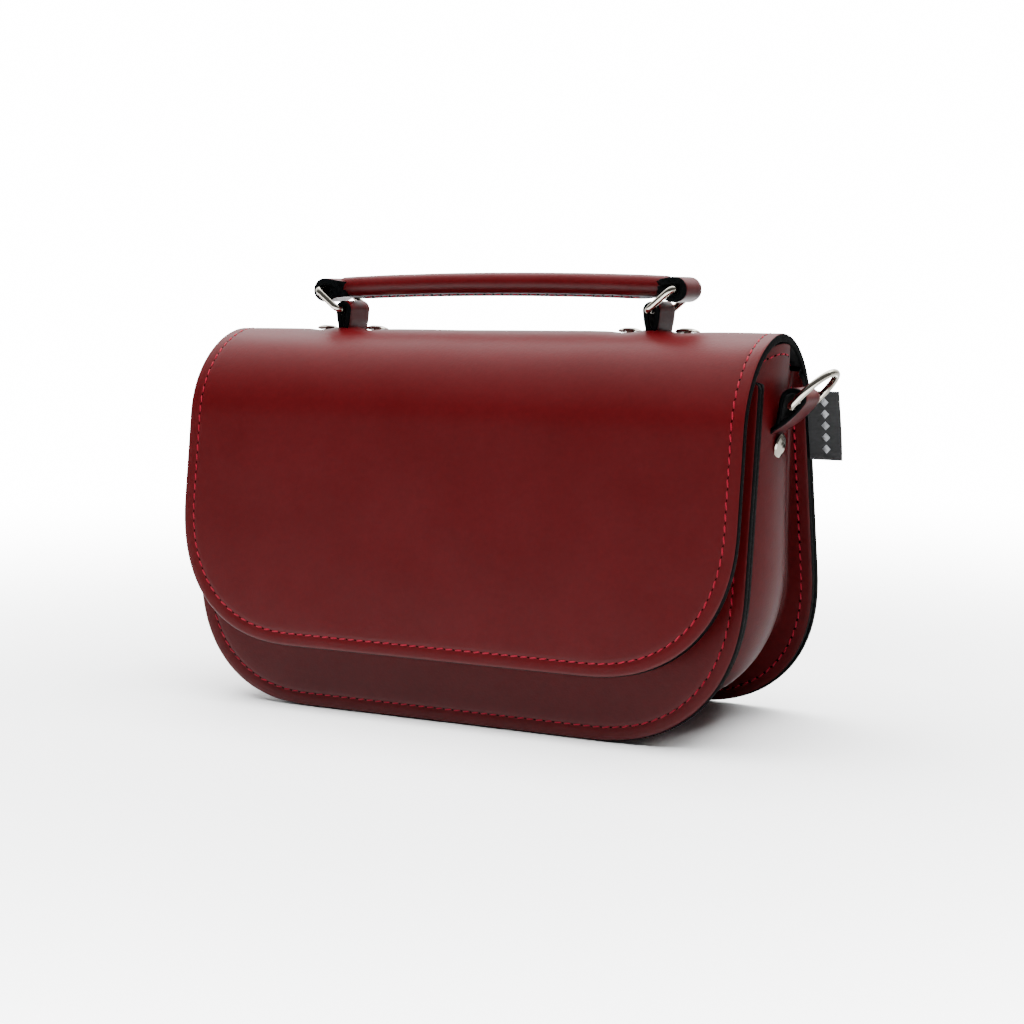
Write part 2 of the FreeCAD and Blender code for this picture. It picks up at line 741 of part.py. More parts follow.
def rectangle_path(far, width, corner):
    """Rounded rectangle from x = 0 to its far side, centred on y = 0."""
    half = width / 2
    return [line((corner, half), (far - corner, half)),
            arc((far - corner, half - corner), corner, 0, 90),
            line((far, half - corner), (far, -half + corner)),
            arc((far - corner, -half + corner), corner, 270, 360),
            line((far - corner, -half), (corner, -half)),
            arc((corner, -half + corner), corner, 180, 270),
            line((0, -half + corner), (0, half - corner)),
            arc((corner, half - corner), corner, 90, 180)]


def d_path(straight, width):
    """D outline: a bar on x = 0, two short straights and a half circle."""
    half = width / 2
    corner = size("d_corner")
    return [line((corner, half), (straight, half)),
            arc((straight, 0), half, 270, 90 + 360),
            line((straight, -half), (corner, -half)),
            arc((corner, -half + corner), corner, 180, 270),
            line((0, -half + corner), (0, half - corner)),
            arc((corner, half - corner), corner, 90, 180)]


def slanted(base, sign, degrees):
    """Placement of a ring: local x runs outward and up at a slant, local y along Y."""
    slant = math.radians(degrees)
    x_way = V(sign * math.cos(slant), 0, math.sin(slant))
    turn = FreeCAD.Rotation(x_way, Y_AXIS, x_way.cross(Y_AXIS), "XYZ")
    return FreeCAD.Placement(base, turn)


def make_rings():
    out = size("ring_out")
    up = size("ring_up")
    length = math.hypot(out, up)
    slant = math.degrees(math.atan2(up, out))
    for side, sign in SIDES.items():
        base = V(sign * MOUNT_X, MOUNT_Y, size("ring_bar_height"))
        wire_ring(f"ring_{side}", rectangle_path(length, size("ring_across"), size("ring_corner")),
                  "ring_wire", (0, 0), slanted(base, sign, slant))
        base = V(sign * size("d_bar_reach"), size("side_depth"), size("d_bar_height"))
        wire_ring(f"d_ring_{side}", d_path(size("d_straight"), size("d_across")), "d_wire", (0, 0),
                  slanted(base, sign, size("d_tilt")))


# ---------------------------------------------------------------- handle
def handle_end_height():
    """Height of the handle's axis at its ends, a little above the upper ring bars."""
    return size("ring_bar_height") + size("ring_up") + size("handle_lift")


def arch_radius():
    """Radius of the handle's slight arch."""
    half = size("handle_half_length")
    rise = size("handle_arch")
    return (half ** 2 + rise ** 2) / (2 * rise)


def arch_turn(body, name, edges, half_length):
    """A section turned through the arch of the handle, to the same length on both sides."""
    features = {f.Role: f for f in body.Origin.OriginFeatures}
    drawn = body.newObject("Sketcher::SketchObject", name + "_section")
    drawn.AttachmentSupport = [(features["YZ_Plane"], "")]
    drawn.MapMode = "FlatFace"
    for edge in edges:
        drawn.addGeometry(edge, False)
    turned = body.newObject("PartDesign::Revolution", name + "_arch")
    turned.Profile = drawn
    turned.ReferenceAxis = (features["Y_Axis"], [""])
    turned.Angle = 2 * math.degrees(math.asin(half_length / arch_radius()))
    turned.Midplane = True
    doc.recompute()


def arched_body(node):
    body = doc.addObject("PartDesign::Body", node)
    middle = handle_end_height() + size("handle_arch")
    body.Placement.Base = V(0, MOUNT_Y, middle - arch_radius())
    return label_as(node, body)


def make_handle():
    """Rolled leather over a cord core, its two edges sewn together in a fin below."""
    radius = arch_radius()
    outer = size("handle_radius")
    inner = size("core_radius")
    fin = size("seam_fin_width") / 2
    cover = arched_body("handle_cover")
    arch_turn(cover, "roll", [circle((0, radius), outer), circle((0, radius), inner)],
              size("handle_half_length"))
    fin_top = radius - (outer + inner) / 2
    fin_low = radius - size("seam_fin_height")
    arch_turn(cover, "fin", polygon([(-fin, fin_top), (fin, fin_top), (fin, fin_low), (-fin, fin_low)]),
              size("seam_fin_half_length"))
    core_half = size("handle_half_length") - size("core_end_gap")
    arch_turn(arched_body("handle_core"), "core", [circle((0, radius), inner)], core_half)
    for side, sign in SIDES.items():
        make_end_loop(side, sign, core_half)


def make_end_loop(side, sign, core_half):
    """Flat end of the handle leather, folded back round the upper bar of the ring."""
    outer = size("loop_radius")
    bar = (sign * (MOUNT_X + size("ring_out")), size("ring_bar_height") + size("ring_up"))
    start = size("handle_half_length") + size("loop_gap")
    if side == "left":
        eye = [circle(bar, size("ring_wire") / 2 + size("pin_clearance"))]
    else:
        hole = size("ring_wire") / 2 + size("open_eye_slack")
        travel = size("open_eye_travel")
        inward = (bar[0] - travel, bar[1])
        eye = [arc(bar, hole, 270, 450), arc(inward, hole, 90, 270),
               line((bar[0], bar[1] + hole), (inward[0], bar[1] + hole)),
               line((inward[0], bar[1] - hole), (bar[0], bar[1] - hole))]
    first = 270 if sign > 0 else 90
    end = sign * start
    edges = [arc(bar, outer, first, first + 180),
             line((bar[0], bar[1] + outer), (end, bar[1] + outer)),
             line((end, bar[1] + outer), (end, bar[1] - outer)),
             line((end, bar[1] - outer), (bar[0], bar[1] - outer))] + eye
    node = f"handle_end_loop_{side}"
    loop = extrusion(node + "_loop", sketch(node + "_outline", edges, FRONT_VIEW, V(0, MOUNT_Y, 0)),
                     size("strap_width"), "Sizes.strap_width")
    peg = doc.addObject("Part::Cylinder", node + "_tongue")
    peg.Radius = size("core_radius") - size("core_peg_play")
    peg.Height = start + size("core_peg_overlap") - core_half
    first = core_half + size("core_peg_gap")
    peg.Placement = FreeCAD.Placement(V(sign * first, MOUNT_Y, handle_end_height() + size("pin_clearance")),
                                      FreeCAD.Rotation(Y_AXIS, sign * 90))
    return label_as(node, fuse(node, [loop, peg]))


# ---------------------------------------------------------------- side tabs
def teardrop(sign, radius, low, high):
    """Front-view outline from two heights on the gusset wall to tangents round the D-ring bar."""
    bar = (size("d_bar_reach"), size("d_bar_height"))
    tangents = []
    for height, turn in ((low, 1), (high, -1)):
        across = WALL_X - bar[0]
        rise = height - bar[1]
        angle = math.atan2(rise, across) + turn * math.acos(radius / math.hypot(across, rise))
        tangents.append((sign * (bar[0] + radius * math.cos(angle)), bar[1] + radius * math.sin(angle)))
    tip = (sign * (bar[0] + radius), bar[1])
    wall_low = (sign * WALL_X, low)
    wall_high = (sign * WALL_X, high)
    return [Part.Arc(V(*tangents[0], 0), V(*tip, 0), V(*tangents[1], 0)),
            line(tangents[1], wall_high), line(wall_high, wall_low), line(wall_low, tangents[0])]


def tab_passages(side, sign, prefix, outer, length):
    """Where the two legs of a side tab pass through the gusset wall, from an X reach inward."""
    passages = []
    for name, height in (("low", size("tab_low")), ("high", size("tab_high") - size("strap_thick"))):
        passage = doc.addObject("Part::Box", f"{prefix}_{name}_{side}")
        passage.Length = length
        passage.setExpression("Width", "Sizes.strap_width")
        passage.setExpression("Height", "Sizes.strap_thick")
        middle = sign * (outer - length / 2)
        passage.Placement.Base = V(middle - length / 2, size("side_depth") - size("strap_width") / 2,
                                   height)
        passages.append(passage)
    return passages


def make_side_tab(side, sign, rivets):
    """Leather tab that holds the D-ring: a loop outside the gusset and a riveted tail inside."""
    eye = size("d_wire") / 2 + size("pin_clearance")
    thick = size("strap_thick")
    node = f"side_tab_{side}"
    # The legs run at a slant, so their upright section is a quarter thicker than the strap.
    slope_room = thick * 1.25
    edges = (teardrop(sign, eye + thick, size("tab_low"), size("tab_high"))
             + teardrop(sign, eye, size("tab_low") + slope_room, size("tab_high") - slope_room))
    loop = extrusion(node + "_loop", sketch(node + "_outline", edges, FRONT_VIEW,
                                            V(0, size("side_depth"), 0)),
                     size("strap_width"), "Sizes.strap_width")
    skin = doc.addObject("Part::Box", node + "_root")
    skin.setExpression("Length", "Sizes.strap_thick / 4")
    skin.setExpression("Width", "Sizes.strap_width")
    skin.Height = size("tab_high") - size("tab_low")
    skin.Placement.Base = V(sign * (WALL_X + thick / 8) - thick / 8,
                            size("side_depth") - size("strap_width") / 2, size("tab_low"))
    bottom = size("side_rivet_height") - size("tail_below_rivet")
    tail = doc.addObject("Part::Box", node + "_tail")
    tail.setExpression("Length", "Sizes.strap_thick")
    tail.setExpression("Width", "Sizes.strap_width")
    tail.Height = size("tab_high") - bottom
    neck = GUSSET + size("tail_room")
    tail.Placement.Base = V(sign * (WALL_X - neck - thick / 2) - thick / 2,
                            size("side_depth") - size("strap_width") / 2, bottom)
    whole = fuse(node + "_strap",
                 [loop, skin, tail] + tab_passages(side, sign, node + "_neck", WALL_X, neck))
    return label_as(node, cut(node, whole, rivets))


def tab_slots():
    """Slots in the gusset wall for the legs of both side tabs."""
    slots = []
    for side, sign in SIDES.items():
        slots += tab_passages(side, sign, "gusset_slot", WALL_X + 1, GUSSET + 2)
    return slots


# ---------------------------------------------------------------- build
clasp_hole = cylinder("panel_clasp_hole", "clasp_post_diameter", HOLE_REACH,
                      on_face(FRONT, size("clasp_height"), LEATHER / 2), lean_rotation(FRONT))
panel("front_panel", FRONT.band(0, size("front_height"), 0, LEATHER), size("front_height"),
      size("panel_top_corner"), [clasp_hole])
panel("back_panel", BARREL.back_layer(0, LEATHER, HINGE_ANGLE - HALF_GAP_ANGLE),
      FAR, 0, [label_recess()])
make_label()
side_rivets = make_rivets("side", side_rivet_places(), GUSSET + size("tail_room") + size("strap_thick"))
make_gusset(side_rivets[0] + tab_slots())
make_clasp()
make_flap()
make_strap_tails(make_rivets("mount", mount_rivet_places(), LEATHER + size("strap_thick"))[1])
make_rings()
make_handle()
for number, (tab_side, tab_sign) in enumerate(SIDES.items()):
    make_mount_loop(tab_side, tab_sign)
    make_side_tab(tab_side, tab_sign, [kind[number] for kind in side_rivets])
doc.recompute()

# ---------------------------------------------------------------- check and write
for thing in doc.Objects:
    if "Invalid" in thing.State or "Error" in thing.State:
        raise RuntimeError(f"{thing.Name} failed: {thing.State}")
os.makedirs("parts", exist_ok=True)
for part in NODES:
    if part.Shape.isNull() or not part.Shape.isValid() or part.Shape.Volume <= 0:
        raise RuntimeError(f"{part.Label} has no valid solid")
    part.Shape.exportStep(f"parts/{part.Label}.step")
    bounds = part.Shape.BoundBox
    print(f"{part.Label:24s} {len(part.Shape.Solids)} solids {part.Shape.Volume:10.1f} mm3  "
          f"x {bounds.XMin:7.1f}..{bounds.XMax:6.1f}  y {bounds.YMin:6.1f}..{bounds.YMax:5.1f}  "
          f"z {bounds.ZMin:6.1f}..{bounds.ZMax:5.1f}")
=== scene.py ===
import cmath
import math
import random

import bmesh
import bpy
import numpy as np
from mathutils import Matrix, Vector, noise


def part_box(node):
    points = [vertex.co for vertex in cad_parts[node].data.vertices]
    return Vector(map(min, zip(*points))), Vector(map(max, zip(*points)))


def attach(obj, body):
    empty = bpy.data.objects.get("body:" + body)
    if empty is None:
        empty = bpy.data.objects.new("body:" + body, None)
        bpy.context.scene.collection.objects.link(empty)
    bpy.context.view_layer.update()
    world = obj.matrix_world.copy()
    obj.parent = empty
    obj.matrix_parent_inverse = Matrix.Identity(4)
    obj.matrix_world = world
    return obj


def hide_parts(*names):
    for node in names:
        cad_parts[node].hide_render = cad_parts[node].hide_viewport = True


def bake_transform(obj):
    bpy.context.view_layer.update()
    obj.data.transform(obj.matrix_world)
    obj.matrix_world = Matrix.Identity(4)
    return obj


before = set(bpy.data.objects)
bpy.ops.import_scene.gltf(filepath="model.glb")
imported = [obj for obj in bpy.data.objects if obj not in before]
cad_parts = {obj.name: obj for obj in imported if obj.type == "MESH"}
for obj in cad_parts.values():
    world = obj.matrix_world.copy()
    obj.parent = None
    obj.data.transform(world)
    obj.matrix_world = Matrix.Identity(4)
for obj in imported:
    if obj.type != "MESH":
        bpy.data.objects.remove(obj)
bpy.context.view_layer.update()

# Leather satchel around its CAD frame.  Shapes are worked out in millimetres in the frame's own
# axes (X across, front -Y, Z up) and turned into metres where a mesh is made.
MM = 0.001
random.seed(7)

# ------------------------------------------------------------------ sizes, in millimetres
# PANEL_THICK is the leather of the CAD panels; LEATHER is the same leather with its painted edge.
PANEL_THICK = 2.8
LEATHER = 3.2
GUSSET = 2.6
STRAP = 2.0
MOUNT_STRAP = 2.2
END_STRAP = 2.9
STRAP_WIDTH = 14.7
CORNER_POWER = 2.36
BACK_CORNER = 59.0
FLAP_CORNER = 57.5
FRONT_TOP_CORNER = 3.0
BACK_RADIUS = 30.0
FRONT_RADIUS = 40.0
BACK_TANGENT_HEIGHT = 122.8
BACK_LEAN = -0.165
FLAP_LEAN = 0.138
SEAM_INSET = 4.9
STITCH_PITCH = 3.95
FRONT_FLANGE_TOP = 130.4
BACK_FLANGE_TOP = 133.5
SIDE_Y = 3.0
ROLL_HEIGHT = 140.0
BEND_HEIGHT = 132.6


def node_box(node):
    """Lowest and highest corner of a CAD node, in millimetres."""
    low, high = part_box(node)
    return low / MM, high / MM


front_low, front_high = node_box("front_panel")
_, back_high = node_box("back_panel")
flap_low, flap_high = node_box("flap")
HALF = front_high.x
FLAP_HALF = flap_high.x
FRONT_TOP = front_high.z
FRONT_LEAN = (front_high.y - PANEL_THICK - front_low.y) / FRONT_TOP
FLAP_BOTTOM = flap_low.z


def middle_of(node):
    """Middle of a CAD node's box, in millimetres."""
    low, high = node_box(node)
    return (low + high) / 2


def unit(y, z):
    length = math.hypot(y, z)
    return y / length, z / length


def smoothstep(value, low, high):
    t = min(max((value - low) / (high - low), 0.0), 1.0)
    return t * t * (3 - 2 * t)


# ------------------------------------------------------------------ materials
def grey(value):
    return (value, value, value)


def add_node(tree, kind, inputs=(), **settings):
    """New shader node; inputs gives a value or a socket to link for each of its inputs."""
    node = tree.nodes.new("ShaderNode" + kind)
    for name, value in settings.items():
        setattr(node, name, value)
    for name, value in dict(inputs).items():
        if isinstance(value, bpy.types.NodeSocket):
            tree.links.new(value, node.inputs[name])
        else:
            node.inputs[name].default_value = value
    return node


def add_ramp(tree, source, *stops):
    """Colour ramp over a socket: stops are (position, colour)."""
    node = add_node(tree, "ValToRGB", {"Fac": source})
    while len(node.color_ramp.elements) < len(stops):
        node.color_ramp.elements.new(0.5)
    for element, (position, colour) in zip(node.color_ramp.elements, stops):
        element.position = position
        element.color = (*colour, 1)
    return node.outputs["Color"]


class Finish:
    """A material with its Principled shader; the methods add linked nodes."""

    def __init__(self, name, base, roughness, metallic=0.0, specular=0.5, sheen=0.0):
        self.material = bpy.data.materials.new(name)
        self.material.use_nodes = True
        self.tree = self.material.node_tree
        self.inputs = self.tree.nodes["Principled BSDF"].inputs
        settings = {"Base Color": (*base, 1), "Roughness": roughness, "Metallic": metallic,
                    "Specular IOR Level": specular, "Sheen Weight": sheen}
        for socket, value in settings.items():
            self.inputs[socket].default_value = value

    def texture(self, kind, scale, stretch=(1, 1, 1), **inputs):
        """A procedural texture in object space; stretch scales its coordinates."""
        coordinates = add_node(self.tree, "TexCoord").outputs["Object"]
        mapping = add_node(self.tree, "Mapping", {"Scale": stretch, "Vector": coordinates})
        vector = mapping.outputs["Vector"]
        return add_node(self.tree, "Tex" + kind, {"Scale": scale, "Vector": vector, **inputs})

    def ramp(self, node, low, high):
        """Colours over a texture between two stops, each (position, colour)."""
        return add_ramp(self.tree, node.outputs["Fac"], low, high)

    def link(self, source, socket):
        self.tree.links.new(source, self.inputs[socket])

    def vary(self, socket, node, low, high):
        """Drives an input of the shader by a ramp over a texture."""
        self.link(self.ramp(node, low, high), socket)

    def mixed(self, blend, factor, first, second):
        """Two colours mixed, each a socket or a plain colour."""
        inputs = {"Factor": factor, 6: first, 7: second}
        return add_node(self.tree, "Mix", inputs, data_type="RGBA", blend_type=blend).outputs[2]

    def bump(self, *heights):
        """Chain of bumps, each (height socket, strength, distance in metres)."""
        before = {}
        for height, strength, distance in heights:
            inputs = {"Height": height, "Strength": strength, "Distance": distance, **before}
            before = {"Normal": add_node(self.tree, "Bump", inputs).outputs["Normal"]}
        self.link(before["Normal"], "Normal")


def make_leather():
    """Smooth oxblood leather: pebble grain, faint pull-up clouds and a satin finish."""
    leather = Finish("oxblood_grain", (0.07, 0.001, 0.002), 0.4, specular=0.16)
    clouds = leather.texture("Noise", 26.0, Detail=3.0, Roughness=0.55)
    speckle = leather.texture("Noise", 620.0, Detail=2.0)
    base = leather.ramp(clouds, (0.25, (0.038, 0.0006, 0.0013)), (0.75, (0.044, 0.0008, 0.0017)))
    fine = leather.ramp(speckle, (0.35, grey(0.90)), (0.65, grey(1.0)))
    leather.link(leather.mixed("MULTIPLY", 1.0, base, fine), "Base Color")
    leather.vary("Roughness", clouds, (0.3, grey(0.38)), (0.7, grey(0.42)))
    pebbles = leather.texture("Voronoi", 1250.0)
    pebbles.feature = "SMOOTH_F1"
    pores = leather.texture("Noise", 2600.0, Detail=3.0)
    folds = leather.texture("Noise", 240.0, Detail=4.0)
    leather.bump((pebbles.outputs["Distance"], 0.22, 0.00012), (pores.outputs["Fac"], 0.16, 0.00006),
                 (folds.outputs["Fac"], 0.14, 0.00015))
    return leather.material


def make_edge_paint():
    """Black edge paint over the cut fibres, slightly uneven."""
    paint = Finish("edge_paint", (0.010, 0.011, 0.012), 0.5, specular=0.03)
    lumps = paint.texture("Noise", 900.0, Detail=4.0)
    dark, light = (0.0005, 0.0007, 0.0008), (0.0014, 0.0018, 0.0020)
    paint.vary("Base Color", lumps, (0.35, dark), (0.7, light))
    paint.vary("Roughness", lumps, (0.3, grey(0.50)), (0.7, grey(0.68)))
    paint.bump((lumps.outputs["Fac"], 0.5, 0.00015))
    return paint.material


def make_flesh():
    """Black flesh side: short napped fibres."""
    flesh = Finish("flesh_side", (0.012, 0.012, 0.013), 0.9, specular=0.1, sheen=0.03)
    nap = flesh.texture("Noise", 1500.0, Detail=5.0, Roughness=0.7)
    patches = flesh.texture("Noise", 60.0, Detail=3.0)
    dark, light = (0.0030, 0.0032, 0.0035), (0.0060, 0.0062, 0.0065)
    flesh.vary("Base Color", patches, (0.3, dark), (0.75, light))
    flesh.bump((nap.outputs["Fac"], 0.7, 0.00025))
    return flesh.material


def make_thread():
    """Waxed crimson thread with its twist."""
    thread = Finish("crimson_thread", (0.2, 0.004, 0.016), 0.6, specular=0.12)
    twist = thread.texture("Wave", 900.0, stretch=(1, 1, 0.6), Distortion=1.5)
    dark, light = (0.14, 0.0025, 0.010), (0.25, 0.006, 0.022)
    thread.vary("Base Color", twist, (0.2, dark), (0.8, light))
    thread.bump((twist.outputs["Fac"], 0.6, 0.0001))
    return thread.material


def make_hole_shade():
    """Painted shade inside a needle hole, near black."""
    hole = Finish("needle_hole_shade", (0.004, 0.002, 0.002), 0.9, specular=0.0)
    grain = hole.texture("Noise", 1500.0)
    dark, light = (0.0006, 0.0004, 0.0004), (0.0020, 0.0010, 0.0010)
    hole.vary("Base Color", grain, (0.3, dark), (0.7, light))
    return hole.material


def make_nickel():
    """Polished nickel plate with faint handling marks."""
    nickel = Finish("polished_nickel", (0.74, 0.71, 0.66), 0.14, metallic=1.0)
    marks = nickel.texture("Noise", 320.0, stretch=(1, 1, 5), Detail=5.0)
    haze = nickel.texture("Noise", 55.0, Detail=2.0)
    dark, light = (0.50, 0.465, 0.39), (0.60, 0.56, 0.48)
    nickel.vary("Base Color", haze, (0.3, dark), (0.7, light))
    nickel.vary("Roughness", marks, (0.35, grey(0.09)), (0.72, grey(0.22)))
    nickel.bump((marks.outputs["Fac"], 0.05, 0.00005))
    return nickel.material


def make_tape():
    """Black woven label tape: fine satin ribs across and along."""
    tape = Finish("label_weave", (0.010, 0.011, 0.013), 0.7, sheen=0.2)
    across = tape.texture("Wave", 700.0, stretch=(1, 0, 0.08))
    along = tape.texture("Wave", 620.0, stretch=(0.08, 0, 1))
    along.bands_direction = "Z"
    weave = tape.mixed("MULTIPLY", 1.0, across.outputs["Color"], along.outputs["Color"])
    dark, light = (0.003, 0.0035, 0.0045, 1), (0.010, 0.012, 0.013, 1)
    tape.link(tape.mixed("MIX", weave, dark, light), "Base Color")
    tape.bump((weave, 0.8, 0.00012))
    return tape.material


def make_yarn_and_fin_reflection(name, dark, light, scale):
    """Spun yarn: the handle's core and the label's motif; in light grey, the same strands are a painted
    reflection of the bright floor on the fin's glossy black edge paint.
    """
    yarn = Finish(name, light, 0.75)
    strands = yarn.texture("Wave", scale, Distortion=2.0, Detail=2.0)
    yarn.vary("Base Color", strands, (0.2, dark), (0.8, light))
    yarn.bump((strands.outputs["Fac"], 0.6, 0.0002))
    return yarn.material


GRAIN = make_leather()
EDGE = make_edge_paint()
FLESH = make_flesh()
THREAD = make_thread()
# Near-black painted shade that stands in for the needle holes.
HOLE = make_hole_shade()
NICKEL = make_nickel()
TAPE = make_tape()
# Light grey painted reflection of the bright floor on the fin's black edge paint.
FIN_FLOOR_REFLECTION = make_yarn_and_fin_reflection("fin_floor_reflection", (0.10, 0.10, 0.11), (0.22, 0.22, 0.23), 700.0)
MOTIF = make_yarn_and_fin_reflection("label_motif_yarn", (0.20, 0.21, 0.22), (0.42, 0.43, 0.45), 1500.0)
CORD = make_yarn_and_fin_reflection("cord_yarn", (0.30, 0.24, 0.16), (0.55, 0.47, 0.34), 500.0)
HIDE_MATERIALS = [GRAIN, EDGE, FLESH]
GRAIN_SLOT, EDGE_SLOT, FLESH_SLOT, FIN_SLOT = 0, 1, 2, 3


# ------------------------------------------------------------------ mesh helpers
def make_piece(name, points, faces, slots, materials):
    """A smooth-shaded mesh object from points in millimetres; slots are material indices."""
    mesh = bpy.data.meshes.new(name)
    mesh.from_pydata([tuple(float(c) * MM for c in p) for p in points], [], faces)
    for material in materials:
        mesh.materials.append(material)
    mesh.polygons.foreach_set("material_index", slots)
    mesh.polygons.foreach_set("use_smooth", [True] * len(faces))
    shell = bmesh.new()
    shell.from_mesh(mesh)
    bmesh.ops.delete(shell, geom=[v for v in shell.verts if not v.link_faces], context="VERTS")
    bmesh.ops.recalc_face_normals(shell, faces=shell.faces)
    shell.to_mesh(mesh)
    shell.free()
    piece = bpy.data.objects.new(name, mesh)
    bpy.context.scene.collection.objects.link(piece)
    return piece


def apply_modifiers(piece):
    """Replaces the piece's mesh with the one its modifiers make."""
    bpy.context.view_layer.update()
    shown = piece.evaluated_get(bpy.context.evaluated_depsgraph_get())
    mesh = bpy.data.meshes.new_from_object(shown)
    piece.modifiers.clear()
    piece.data = mesh


def ring_quads(first, second, count):
    """Quads between two closed rings of points, from the indices where the rings start."""
    return [(first + k, first + (k + 1) % count, second + (k + 1) % count, second + k)
            for k in range(count)]


def strip_quads(first, second, count):
    """Quads between two open rows of points, from the indices where the rows start."""
    return ring_quads(first, second, count)[:-1]


def signed_power(value, power):
    return math.copysign(abs(value) ** power, value)


def corner_points(centre, radius, power, first, last, steps):
    """Points of a superelliptic corner between two angles, in degrees."""
    points = []
    for step in range(steps + 1):
        angle = math.radians(first + (last - first) * step / steps)
        points.append((centre[0] + radius * signed_power(math.cos(angle), 2 / power),
                       centre[1] + radius * signed_power(math.sin(angle), 2 / power)))
    return points


def between(start, end, steps):
    """Points from start to end, without the ends."""
    return [(start[0] + (end[0] - start[0]) * k / steps, start[1] + (end[1] - start[1]) * k / steps)
            for k in range(1, steps)]


class Outline:
    """Flat outline of a leather piece: straight sides and superelliptic corners."""

    CORNER_STEPS = 12
    LEAST_CORNER = 0.4

    def __init__(self, half, high, low_corner, high_corner, across_steps, along_steps):
        self.half, self.high = half, high
        self.low_corner, self.high_corner = low_corner, high_corner
        self.across_steps, self.along_steps = across_steps, along_steps

    def sides(self, inset):
        """Bottom, right, top and left, each between the middles of two corners."""

        def half_corner(x_sign, z_sign, first):
            """An eighth of a turn round a corner, from an angle in degrees."""
            corner = self.low_corner if z_sign < 0 else self.high_corner
            radius = max(corner - inset, self.LEAST_CORNER)
            height = inset + radius if z_sign < 0 else self.high - inset - radius
            centre = (x_sign * (self.half - inset - radius), height)
            return corner_points(centre, radius, CORNER_POWER, first, first + 45, self.CORNER_STEPS)

        def side(first, second, count):
            return first + between(first[-1], second[0], count) + second

        bottom = side(half_corner(-1, -1, 225), half_corner(1, -1, 270), self.across_steps)
        right = side(half_corner(1, -1, 315), half_corner(1, 1, 0), self.along_steps)
        top = side(half_corner(1, 1, 45), half_corner(-1, 1, 90), self.across_steps)
        left = side(half_corner(-1, 1, 135), half_corner(-1, -1, 180), self.along_steps)
        return bottom, right, top, left

    def loop(self, inset):
        return [point for side in self.sides(inset) for point in side[:-1]]


def coons_rows(sides):
    """Grid of flat points that fills an outline, row by row from its bottom side."""
    bottom, right, top, left = [np.array(side) for side in sides]
    top, left = top[::-1], left[::-1]
    u = np.linspace(0, 1, len(bottom))[None, :, None]
    v = np.linspace(0, 1, len(left))[:, None, None]
    across = (1 - v) * bottom[None] + v * top[None]
    along = (1 - u) * left[:, None] + u * right[:, None]
    corners = ((1 - u) * (1 - v) * bottom[0] + u * (1 - v) * bottom[-1]
               + (1 - u) * v * top[0] + u * v * top[-1])
    return across + along - corners


def edge_rings(thick):
    """Rings from the grain side round the edge to the flesh side: (inset, depth, slot after it)."""
    return [(9.0, 0.0, GRAIN_SLOT), (6.6, 0.0, GRAIN_SLOT), (5.6, 0.06, GRAIN_SLOT),
            (SEAM_INSET, 0.2, GRAIN_SLOT), (4.2, 0.06, GRAIN_SLOT), (3.0, 0.0, GRAIN_SLOT),
            (1.3, 0.0, GRAIN_SLOT), (0.62, 0.05, GRAIN_SLOT), (0.26, 0.2, EDGE_SLOT),
            (0.07, 0.45, EDGE_SLOT), (0.0, 0.95, EDGE_SLOT), (0.0, thick - 0.8, EDGE_SLOT),
            (0.08, thick - 0.36, EDGE_SLOT), (0.34, thick - 0.08, EDGE_SLOT), (0.8, thick, FLESH_SLOT),
            (3.6, thick, FLESH_SLOT), (SEAM_INSET, thick - 0.15, FLESH_SLOT), (9.0, thick, FLESH_SLOT)]


def leather_sheet(name, outline, to_space, thick):
    """A leather piece with a rounded painted edge and a shallow trough along its seam."""
    rings = edge_rings(thick)
    flats, faces, slots = [], [], []
    count = len(outline.loop(rings[0][0]))
    for inset, depth, _ in rings:
        flats += [(x, v, depth) for x, v in outline.loop(inset)]
    for ring, (_, _, slot) in enumerate(rings[:-1]):
        faces += ring_quads(ring * count, (ring + 1) * count, count)
        slots += [slot] * count
    for ring, slot in ((0, GRAIN_SLOT), (len(rings) - 1, FLESH_SLOT)):
        inset, depth, _ = rings[ring]
        rows = coons_rows(outline.sides(inset))
        height, width = rows.shape[:2]
        index = np.full((height, width), -1)
        border = ([(0, k) for k in range(width - 1)] + [(k, width - 1) for k in range(height - 1)]
                  + [(height - 1, k) for k in range(width - 1, 0, -1)]
                  + [(k, 0) for k in range(height - 1, 0, -1)])
        for k, (row, column) in enumerate(border):
            index[row, column] = ring * count + k
        for row in range(1, height - 1):
            for column in range(1, width - 1):
                index[row, column] = len(flats)
                flats.append((*rows[row, column], depth))
        for row in range(height - 1):
            for column in range(width - 1):
                faces.append((index[row, column], index[row, column + 1],
                              index[row + 1, column + 1], index[row + 1, column]))
                slots.append(slot)
    points = [to_space(x, v, depth) for x, v, depth in flats]
    faces = [tuple(int(index) for index in face) for face in faces]
    return make_piece(name, points, faces, slots, HIDE_MATERIALS)


